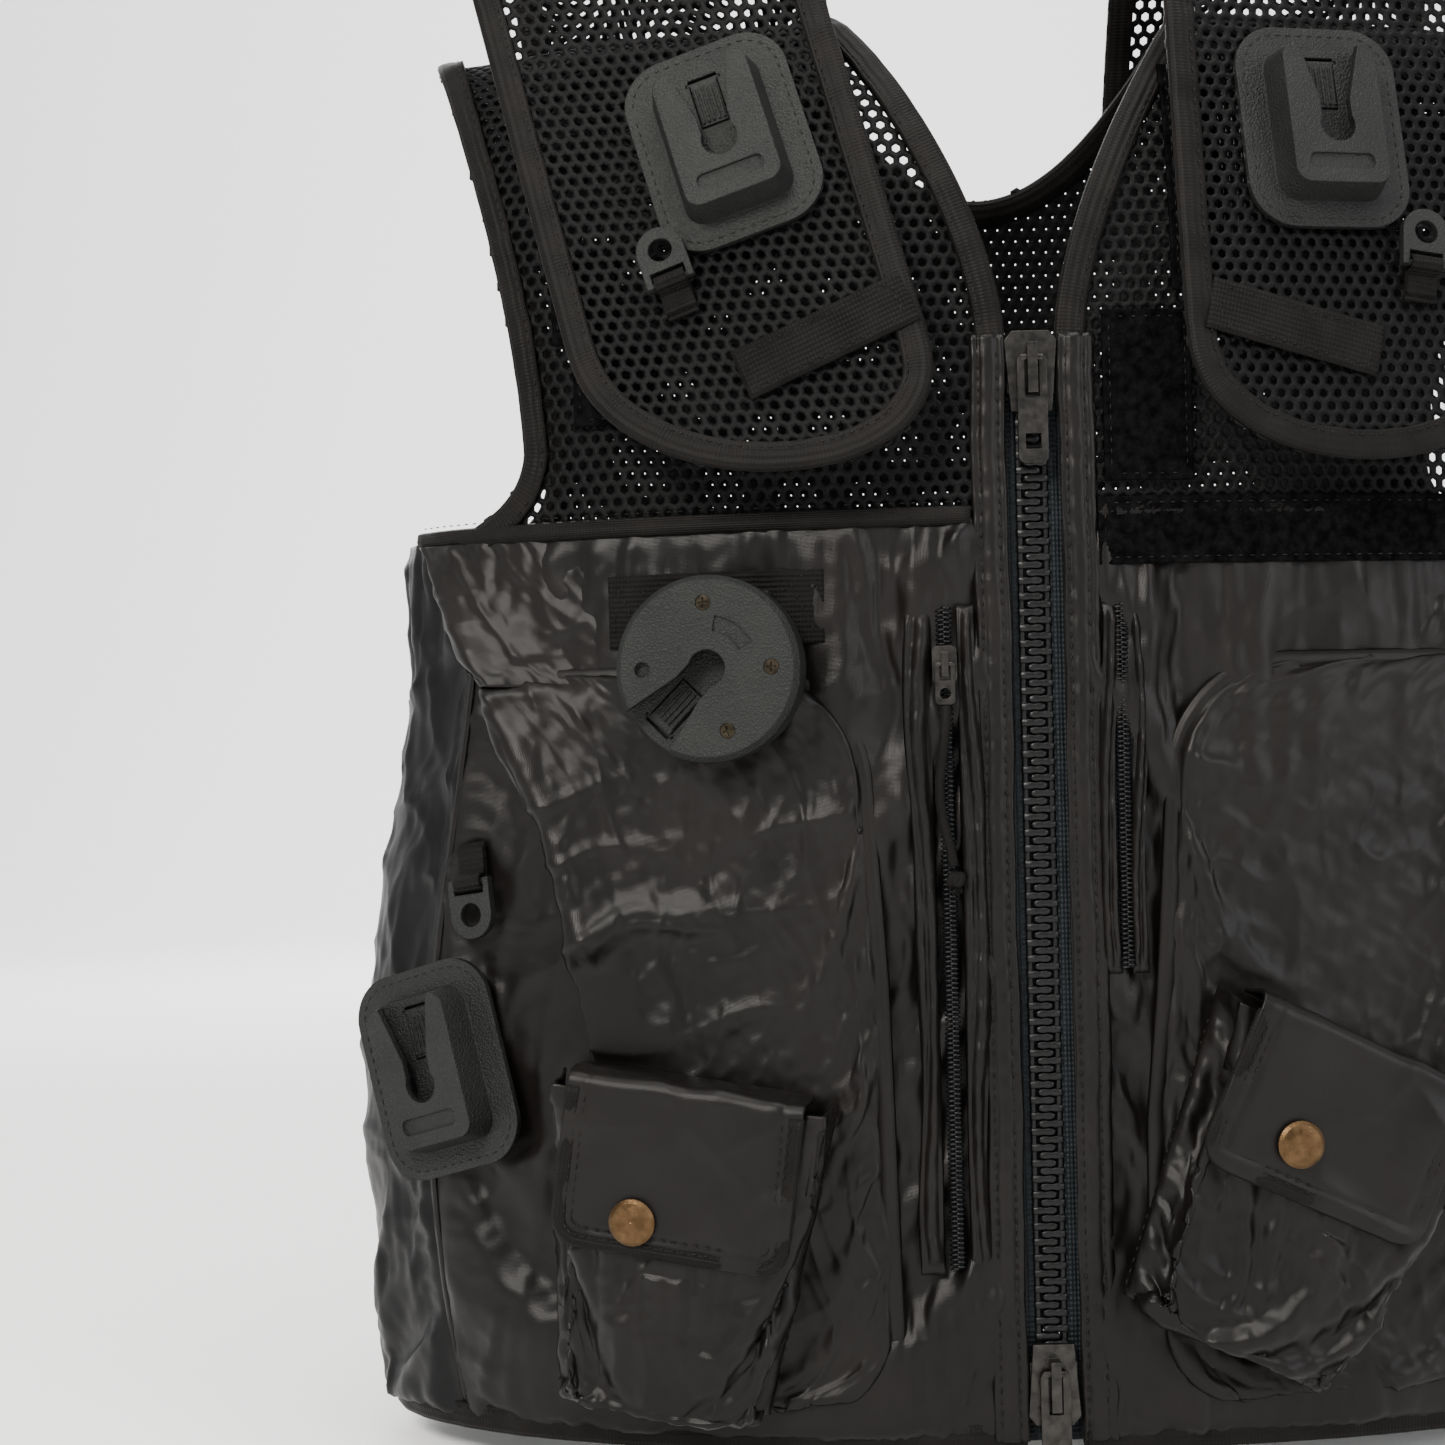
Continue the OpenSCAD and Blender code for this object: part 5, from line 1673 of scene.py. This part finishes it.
    def _mirror(self, points: Array) -> Array:
        """Points on this flap's own side."""
        return points * [float(self.side.value), 1.0, 1.0]

    def _joined(self, obj: Object) -> None:
        """Bake a front piece's placing into its mesh; the hinge's two ends are worked out but not used."""
        ends = to_row(self._mirror(self.face(np.array([0.0, 0.0]),
                                             np.array([self.length + self.bend, self.length - self.bend]))))
        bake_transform(obj)

    def build(self) -> None:
        """Build the nets, bindings, strip, tab and stitches."""
        split = self.length + self.bend
        net = OpenKnit()
        for part, low, high in (("front", 0.0, split), ("rear", split, self.total)):
            def at(u: Array, v: Array, d: Array) -> Array:
                wave = 0.35 * np.sin(u / 13 + v / 31)
                return self._mirror(self.face(u, v) + self.normal(u, v) * (d + wave - 0.9)[..., None])

            def inside(u: Array, v: Array, lo: float = low, hi: float = high) -> Array:
                return (np.abs(u) < self.half(v) - 0.5) & (v >= lo) & (v < hi) & (v > 2)

            obj = net.build(f"flap_net_{part}_{self.side.word}", (-58.0, 58.0), (0.0, self.total), at, inside,
                            self.side is Side.RIGHT)
            dress(obj, KNIT)
            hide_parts(f"flap_{part}_{self.side.word}")
            if part == "front":
                self._joined(obj)
            else:
                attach(obj, VEST)
        self._bindings(split)
        self._strip()
        word = self.side.word
        self._tab(self.ring_spot(), f"shoulder_ring_tab_{word}", 10.0, 4.1, f"flap_{word}")

    def _bindings(self, split: float) -> None:
        """Bind the flap's edges, front and rear."""
        rise = np.linspace(0, 1, 60)
        t_low = 46 * (1 - (1 - np.linspace(0, 1, 50) ** 2) ** 0.5)
        t_side = np.concatenate([t_low[:-1], np.linspace(46, split, 70)])
        a = np.concatenate([-self.half(t_side)[::-1], self.half(t_side)[1:]])
        t = np.concatenate([t_side[::-1], t_side[1:]])
        front = self._edge(a, t)
        for kind, obj in (("tape", binding(f"flap_edge_{self.side.word}", front, 23)),
                          ("thread", stitches(f"flap_edge_stitches_{self.side.word}",
                                              stitch_parts(front, *STITCH_ROW)))):
            if kind == "tape":
                dress(obj, BINDING)
            self._joined(obj)
        half = self.width / 2
        t = np.concatenate([split + rise * (self.total - split), np.full(40, self.total),
                            self.total - rise * (self.total - split)])
        a = np.concatenate([np.full(60, -half), np.linspace(-half, half, 40), np.full(60, half)])
        rear = self._edge(a[::-1], t[::-1])
        fit(binding(f"flap_rear_edge_{self.side.word}", rear, 25), BINDING)
        sew(f"flap_rear_stitches_{self.side.word}", stitch_parts(rear, *STITCH_ROW))

    def _edge(self, a: Array, t: Array) -> EdgeRun:
        """Edge line of the flap, whose inward direction points at its middle."""
        tt = np.minimum(t, self.total)
        pts, nrm = self._mirror(self.face(a, tt)), self._mirror(self.normal(a, tt))
        keep = np.concatenate([[True], np.linalg.norm(np.diff(pts, axis=0), axis=1) > 0.05])
        pts, nrm, a, tt = pts[keep], nrm[keep], a[keep], tt[keep]
        run = EdgeRun.along(pts, nrm, 1.0)
        middle = self._mirror(self.face(np.zeros_like(a), np.clip(tt, 40, self.total - 40)))
        sign = np.sign(((middle - pts) * run.inward).sum(-1))
        run.inward *= np.where(sign == 0, 1, sign)[:, None]
        return run

    def _strip(self) -> None:
        """Sewn webbing strip under the dock."""
        f = self.spot(-26 if self.side is Side.RIGHT else -22, 0.23 * self.length,
                      -24 if self.side is Side.RIGHT else -16)
        strip = webbing_strip(f"flap_strip_{self.side.word}", f, 59.3, 18, 0.3, 1.7, self.side is Side.RIGHT)
        fit(strip, TAPE, f"flap_{self.side.word}", f"flap_webbing_{self.side.word}")
        parts = box_stitches(f, 25.5, 6.4, 2.05)
        sew(f"flap_strip_stitches_{self.side.word}", parts, f"flap_{self.side.word}")

    @staticmethod
    def _tab(f: Frame, name: str, tail: float, base: float, body: str) -> Object:
        """Webbing tab that loops round a ring's bar."""
        angle = np.radians(np.linspace(200, -120, 22))
        loop = np.stack([2.5 * np.cos(angle), 2.5 * np.sin(angle)], -1)
        upper = [[-tail, -base + 1.75], [-tail * 0.7, -base + 1.8], [-4.2, -base + 2.2]]
        lower = [[-2.6, -base + 0.9], [-tail * 0.7, -base + 0.6], [-tail - 1.5, -base + 0.5]]
        line = np.concatenate([upper, loop, lower])
        x = np.linspace(-5.2, 5.2, 9)
        pts = np.stack([np.broadcast_to(x[None, :], (len(line), 9)),
                        np.broadcast_to(line[:, :1], (len(line), 9)),
                        np.broadcast_to(line[:, 1:], (len(line), 9))], -1)
        tab = grid_object(name, place(f, pts))
        return fit(thicken(tab, 0.95, 0.0), TAPE, body)


def webbing_strip(name: str, f: Frame, w: float, h: float, z0: float, t: float, flip: bool) -> Object:
    """Flat webbing in a frame, with soft edges."""
    x, y = np.meshgrid(np.linspace(-w / 2, w / 2, 60), np.linspace(-h / 2, h / 2, 20))
    edge = np.minimum(w / 2 - np.abs(x), h / 2 - np.abs(y))
    wave = 0.22 * ripple(np.stack([x, y], -1), 5, 5, 30.0)
    z = z0 + t * (0.55 + 0.45 * smooth(edge / 1.1)) + wave
    obj = grid_object(name, place(f, np.stack([x, y, z], -1)), flip, np.stack([x, y], -1) * MM)
    return thicken(obj, t * 0.8)


def frame_run(f: Frame, corners: Sequence[Tuple[float, float]], z: float, close: bool = True) -> EdgeRun:
    """Line through corners in a frame's plane."""
    pts = list(corners) + ([corners[0]] if close else [])
    dense = []
    for a, b in zip(pts, pts[1:]):
        n = max(2, int(math.dist(a, b) / 1.5))
        dense += [(a[0] + (b[0] - a[0]) * k / n, a[1] + (b[1] - a[1]) * k / n, z) for k in range(n)]
    dense.append((*pts[-1], z))
    points = place(f, np.array(dense))
    return EdgeRun.along(points, np.broadcast_to(f[3], points.shape), 1.0)


def box_stitches(f: Frame, half_w: float, half_h: float, z: float) -> List[Solid]:
    """Stitches round a rectangle in a frame."""
    corners = [(-half_w, -half_h), (half_w, -half_h), (half_w, half_h), (-half_w, half_h)]
    return stitch_parts(frame_run(f, corners, z), 0, 0)


def rounded_corners(w: float, h: float, r: float) -> List[Tuple[float, float]]:
    """Outline of a rounded rectangle."""
    out = []
    dx, dy = w / 2 - r, h / 2 - r
    for k, (cx, cy) in enumerate(((dx, dy), (-dx, dy), (-dx, -dy), (dx, -dy))):
        for a in np.radians(np.linspace(90 * k, 90 * k + 90, 10)):
            out.append((cx + r * math.cos(a), cy + r * math.sin(a)))
    return out


# ---------------------------------------------------------------------------
# Pockets
# ---------------------------------------------------------------------------


@dataclass(frozen=True)
class Pockets:
    """Flat patch pockets with bellows pockets and snap lids on them."""

    width: float = 88.0
    height: float = 104.0
    lid_w: float = 77.0
    lid_drop: float = 56.0

    def build(self) -> None:
        """Build every pocket."""
        for side in Side:
            self._patch(side)
            self._drape(side)
            self._bag(side)
            self._lid(side)

    def spot(self, side: Side) -> Frame:
        """Frame on the back of a bellows pocket."""
        if side is Side.RIGHT:
            return mirrored(FORM.spot(118, 70, 4.2, 8))
        return FORM.spot(75, 84, 4.2, -25)

    @staticmethod
    def snap(side: Side) -> Tuple[float, float]:
        """Place of the snap in the pocket's frame."""
        return (12.0, 9.0) if side is Side.RIGHT else (-10.0, 15.0)

    @staticmethod
    def _inner(side: Side, z: Array) -> Array:
        """|x| of the patch's inner edge."""
        if side is Side.RIGHT:
            edge = np.interp(z, [15, 152.4, 254], [50, 53, 59])
        else:
            edge = np.interp(z, [15, 106.7, 147.3, 254], [34, 35, 39, 46])
        top = 35 * (1 - np.sqrt(np.maximum(0, 1 - (np.maximum(0, z - 219) / 35) ** 2)))
        low = 25 * (1 - np.sqrt(np.maximum(0, 1 - (np.maximum(0, 40 - z) / 25) ** 2)))
        return edge + top + low

    @staticmethod
    def _outer(z: Array) -> Array:
        """|x| of the patch's draped outer edge, and of the fold that goes on to the armhole."""
        return np.interp(z, [0, 61, 145, 211, 254, 303], [132, 135, 143, 157, 176, 204])

    @staticmethod
    def _lift(side: Side, z: Array) -> Array:
        """Height of the roll along the draped edge."""
        roll = 9.0 if side is Side.RIGHT else 5.5
        return roll * smooth((z - 30) / 60) * (1 - 0.8 * smooth((z - 262) / 36)) + 1.5

    def _drape(self, side: Side) -> None:
        """Build the fold between the patch and the armhole."""
        u, v = unit_grid(46, 28)
        z = 251 + 50 * v
        last = 0.8
        across, tuck = np.minimum(u / last, 1.0), np.clip((u - last) / (1 - last), 0, 1)
        outer, lift, angle = self._outer(z), self._lift(side, z), tuck * math.pi * 0.95
        x = outer - 55 + across * 55
        d = -0.9 + 2.2 * smooth(across * 3) + lift * np.clip(1 - (outer - x) / 30, 0, 1) ** 2
        x = x + 0.42 * lift * np.sin(angle)
        d = np.where(tuck > 0, 1.0 + lift * (0.5 + 0.5 * np.cos(angle)), d)
        d = d - 1.6 * smooth((z - 290) / 11)
        obj = grid_object(f"drape_cloth_{side.word}", FORM.out(side.value * x, z, d), side is Side.RIGHT)
        crumple(obj, rim_hold(45, 27), 0.06, -1.0, 3.0)
        relief(obj, 65 + side.value, 2.4, 0.4, 8, 0.4)
        fit(thicken(obj, CLOTH_T), NYLON)

    def _patch(self, side: Side) -> None:
        """Build one patch pocket, slack in its middle, its outer edge draped in a roll."""
        u, v = unit_grid(76, 110)
        z = 15 + 239 * v
        inner = self._inner(side, z)
        outer = self._outer(z)
        last = 0.86
        across = np.minimum(u / last, 1.0)
        x = inner + across * (outer - inner)
        tuck = np.clip((u - last) / (1 - last), 0, 1)
        lift = self._lift(side, z)
        near = np.clip(1 - (outer - x) / 30, 0, 1)
        d = 2.4 + 1.6 * np.sin(math.pi * across) ** 0.7 * np.sin(math.pi * v) ** 0.5 + lift * near ** 2
        angle = tuck * math.pi * 0.95
        x = x + 0.42 * lift * np.sin(angle)
        d = np.where(tuck > 0, 2.4 + lift * (0.5 + 0.5 * np.cos(angle)), d)
        rim = np.minimum(np.minimum(v, 1 - v) * 239, (x - inner) * 1.0)
        d = 0.7 + (d - 0.7) * smooth(rim / 4)
        obj = grid_object(f"patch_cloth_{side.word}", FORM.out(side.value * x, z, d), side is Side.RIGHT)
        crumple(obj, rim_hold(75, 109), 0.06, -1.4, 6.5)
        relief(obj, 61 + side.value, 3.4, 0.5, 10, 0.9)
        self._keep_under(obj, side)
        fit(thicken(obj, CLOTH_T), NYLON, VEST, f"patch_pocket_{side.word}")
        zs = np.concatenate([np.linspace(15, 219, 90), 219 + 35 * np.sin(np.linspace(0.02, math.pi / 2, 40))])
        inner_x = self._inner(side, zs)
        top_x = np.linspace(inner_x[-1] + 2, 174, 60)
        px = np.concatenate([inner_x, top_x])
        pz = np.concatenate([zs, np.full(60, 254.0)])
        run = surface_run(side.value * px, pz, -float(side.value))
        fit(binding(f"patch_seam_{side.word}", run, 63, SEAM_ROLL, 0.3), NYLON)
        sew(f"patch_stitches_{side.word}", stitch_parts(run, 5.0, 1.1))

    def _keep_under(self, obj: Object, side: Side) -> None:
        """Press the patch flat under its bellows pocket, and above it where the open lid lies."""
        f = self.spot(side)
        local = local_to(f, read_mm(obj))
        inside = smooth((self.width / 2 + 10 - np.abs(local[:, 0])) / 10) * smooth(
            (self.height / 2 + 12 - np.abs(local[:, 1])) / 10)
        sink = np.maximum(0, local[:, 2] + 0.5) * inside
        above = smooth((self.width / 2 + 8 - np.abs(local[:, 0])) / 8) * smooth(
            (local[:, 1] - 38) / 8) * smooth((94 - local[:, 1]) / 12)
        over = np.maximum(0, local[:, 2] - 0.2)
        sink = np.maximum(sink, (over - 0.5 * (1 - np.exp(-over / 1.5))) * above)
        write_points(obj, read_points(obj) - sink[:, None] * f[3] * MM)

    def _half(self, y: Array) -> Array:
        """Half width of the bag at height y."""
        t = np.clip((y + self.height / 2) / self.height, 0, 1)
        return 32 + 11.5 * t ** 0.8

    def _bag(self, side: Side) -> None:
        """Build the bellows bag: front, two gussets and a floor, open at its top."""
        f = self.spot(side)
        u, v = np.meshgrid(np.linspace(-1, 1, 81), np.linspace(-1, 0.82, 74))
        y = -self.height / 2 + 3 + (self.height - 4) * np.clip((v + 0.8) / 1.62, 0, 1)
        au = np.abs(u)
        gusset = np.clip((au - 0.78) / 0.22, 0, 1)
        floor = np.clip((-v - 0.8) / 0.2, 0, 1)
        x = np.sign(u) * self._half(y) * np.minimum(1, au / 0.78)
        pleat = 5.0 * np.sin(math.pi * gusset) * (0.6 + 0.4 * np.sin(y / 11))
        x = x - np.sign(u) * pleat + np.sign(u) * 2.5 * gusset
        slack = np.cos(math.pi * np.clip(au / 0.78, 0, 1) / 2)
        belly = 1.5 * slack * np.sin(math.pi * np.clip((v + 1) / 1.8, 0, 1))
        z = (19.3 + belly) * (1 - gusset ** 1.15) * (1 - floor ** 1.1)
        y = y - 3.0 * np.sin(math.pi * floor) + 0.6 * np.sin(x / 9)
        edge = 1.6 * np.exp(-((au - 0.78) / 0.03) ** 2) * (gusset < 1)
        x = x + np.sign(u) * edge
        points = place(f, np.stack([x, y, z + 0.4], -1))
        obj = grid_object(f"bellows_bag_{side.word}", points, side is Side.RIGHT)
        i, j = np.meshgrid(np.arange(81), np.arange(74))
        hold = ((i < 2) | (i > 78) | (j < 2)).astype(float).ravel()
        hold = np.maximum(hold, 0.35 * (j > 70).ravel())
        crumple(obj, hold, 0.1, -6.0, 2.2, slip=5.0)
        relief(obj, 71 + side.value, 2.6, 0.6, 5, 0.6)
        local = local_to(f, read_mm(obj))
        over = np.maximum(0, local[:, 2] - 21.6) * (local[:, 1] > -8)
        under = np.maximum(0, 0.3 - local[:, 2])
        write_points(obj, read_points(obj) + (under - over)[:, None] * f[3] * MM)
        fit(thicken(obj, CLOTH_T), NYLON, VEST, f"cargo_pocket_{side.word}")
        foot_x, foot_y = self._half(-48.0) + 3, -self.height / 2 + 2
        run = frame_run(f, [(-46, 50), (-foot_x, foot_y), (foot_x, foot_y), (46, 50)], 0.6, close=False)
        sew(f"bellows_stitches_{side.word}", stitch_parts(run, 0, 0.2))

    def _lid(self, side: Side) -> None:
        """Build the lid: up from its hinge, over the front, with a bound edge."""
        f = self.spot(side)
        half_w, top, front = self.lid_w / 2, 54.0, 23.5
        low = self.height / 2 + 2.2 - self.lid_drop
        knee = np.radians(np.linspace(0, 90, 8))
        line = ([(top, z) for z in np.linspace(2.6, front - 4, 10)]
                + [(top - 4 + 4 * math.cos(a), front - 4 + 4 * math.sin(a)) for a in knee]
                + [(y, front) for y in np.linspace(top - 5, low, 50)])
        line = np.array(line)
        travel = travelled(line)
        end = travel[-1]
        u = np.linspace(-1, 1, 61)
        corner = 9.0
        short = np.maximum(0, corner - (end - travel))
        half = half_w - (corner - np.sqrt(np.maximum(0, corner ** 2 - short ** 2)))
        flat_y = np.broadcast_to(line[:, :1], (len(line), 61))
        x = half[:, None] * u[None, :]
        snap_x, snap_y = self.snap(side)
        near = np.exp(-(((x - snap_x) ** 2 + (flat_y - snap_y) ** 2) / 13.0 ** 2))
        tt = np.broadcast_to(travel[:, None], x.shape)
        wave = (1.1 * ripple(np.stack([x, tt], -1), 81 + side.value, 6, 60.0)
                + 1.6 * creases(np.stack([x, tt], -1), 83 + side.value, 8) - 0.2) * (1 - near)
        wave = np.clip(wave, -0.45, 2.2) * smooth(tt / 12)
        rimmed = np.minimum(half_w - np.abs(x), end - tt)
        bed = 0.45 * np.exp(-((rimmed - 6.2) / 0.8) ** 2)
        slope = np.gradient(line, axis=0)
        n = unit(np.stack([-slope[:, 1], slope[:, 0]], -1))
        n = n * np.sign(n[:, 1:] + n[:, :1])
        shift = (wave - bed)[..., None] * n[:, None, :]
        pts = np.stack([x, flat_y + shift[..., 0], line[:, None, 1] + shift[..., 1]], -1)
        obj = grid_object(f"lid_cloth_{side.word}", place(f, pts), side is Side.LEFT)
        body = f"cargo_lid_{side.word}"
        fit(thicken(obj, 1.5, -1.0, levels=1), NYLON, body, f"cargo_lid_{side.word}")
        turns = [(corner * math.cos(a), corner * math.sin(a)) for a in knee]
        rim = ([(-half_w, top - 5), (-half_w, low + corner)]
               + [(-half_w + corner - c, low + corner - s) for c, s in turns[1:]]
               + [(half_w - corner + s, low + corner - c) for c, s in turns[:-1]]
               + [(half_w, low + corner), (half_w, top - 5)])
        run = frame_run(f, rim, front + 0.1, close=False)
        middle = place(f, np.array([0.0, 28.0, front]))
        run.inward *= np.sign(((middle - run.points) * run.inward).sum(-1))[:, None]
        section = [(a * 0.5, d * 0.62 - 0.25) for a, d in BIND_SECTION]
        fit(binding(f"lid_edge_{side.word}", run, 87, section, 0.15), BINDING, body)
        rows = stitch_parts(run, 6.2, 0.25) + stitch_parts(run, 3.8, 0.6)
        sew(f"lid_stitches_{side.word}", rows, body)


# ---------------------------------------------------------------------------
# Docks, rings, snaps and sliders
# ---------------------------------------------------------------------------


@dataclass(frozen=True)
class Hardware:
    """Moulded docks and rings, metal snaps and sliders, and the tapes that hold them."""

    dock_w: float = 56.0
    dock_h: float = 70.0

    def build(self) -> None:
        """Finish the carried-over parts and sew them on."""
        moulded = ["puck_body", "puck_cover", "puck_latch", "side_dock", "side_latch", "side_ring"]
        for side in Side:
            moulded += [f"shoulder_{kind}_{side.word}" for kind in ("dock", "latch", "ring")]
            dress_node(f"snap_cap_{side.word}", BRASS)
            self._sew_dock(f"shoulder_dock_thread_{side.word}", Flap(side).dock_spot(), f"flap_{side.word}")
        for name in moulded:
            dress_node(name, MOULDED)
        for name in ("zip_top_slider", "zip_top_pull", "zip_bottom_slider", "zip_bottom_pull", "slit_slider",
                     "slit_pull"):
            dress_node(name, GUNMETAL)
        dress_node("snap_studs", BRASS)
        dress_node("puck_screws", SCREW)
        self._sew_dock("side_dock_thread", mirrored(FORM.spot(200, 123, 0.5, -16)), VEST)
        tab = Flap._tab(mirrored(FORM.spot(186, 186, 4.4, 172)), "side_ring_strap", 12.0, 3.9, VEST)
        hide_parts("side_ring_tab")
        self._puck_strap()

    def _sew_dock(self, name: str, f: Frame, body: str) -> None:
        """Stitch a dock's flange down all round."""
        run = frame_run(f, rounded_corners(self.dock_w - 5.6, self.dock_h - 5.6, 12.2), 2.45)
        sew(name, stitch_parts(run, 0, 0.1), body)

    @staticmethod
    def _puck_strap() -> None:
        """Build the strap that the round dock is screwed to."""
        u, v = unit_grid(80, 28)
        x, z = 68 + u * 70, 263 + v * 24
        d = 2.15 + 2.4 * smooth(2.5 * np.minimum(u, 1 - u)) + 0.2 * ripple(np.stack([x, z], -1), 91, 5, 30.0)
        fit(slab_on("puck_webbing", -x, z, d, 1.4, True), TAPE, VEST, "puck_strap")
        parts = []
        for x0, x1 in ((70, 80), (126, 136)):
            for za, zb, xa, xb in ((265, 265, x0, x1), (285, 285, x0, x1), (265, 285, x0, x0),
                                   (265, 285, x1, x1), (265, 285, x0, x1)):
                t = np.linspace(0, 1, 20)
                xx, zz = -(xa + t * (xb - xa)), za + t * (zb - za)
                rise = 2.15 + 2.4 * smooth(2.5 * np.minimum((-xx - 68) / 70, 1 - (-xx - 68) / 70))
                pts = FORM.out(xx, zz, rise)
                parts += stitch_parts(EdgeRun.along(pts, FORM.normal(xx, zz), 1.0), 0, 0.1)
        sew("puck_webbing_thread", parts)


def main() -> None:
    """Build the vest from its parts, in order."""
    logging.basicConfig(level=logging.INFO, format="%(message)s")
    slits = SlitZip()
    steps: List[Tuple[str, Callable[[], object]]] = [
        ("studio", Studio().build), ("cord", slits.cord), ("body", Body().build), ("slits", slits.welts),
        ("front zip", FrontZip().build), ("loop tapes", LoopTapes().build),
        ("right flap", Flap(Side.RIGHT).build), ("left flap", Flap(Side.LEFT).build),
        ("pockets", Pockets().build), ("hardware", Hardware().build),
    ]
    for name, step in steps:
        before = set(bpy.data.objects.keys())
        step()
        made = sorted(set(bpy.data.objects.keys()) - before)
        log.info("%s: %s", name, ", ".join(made) or "finishes only")


if __name__ == "__main__":
    main()
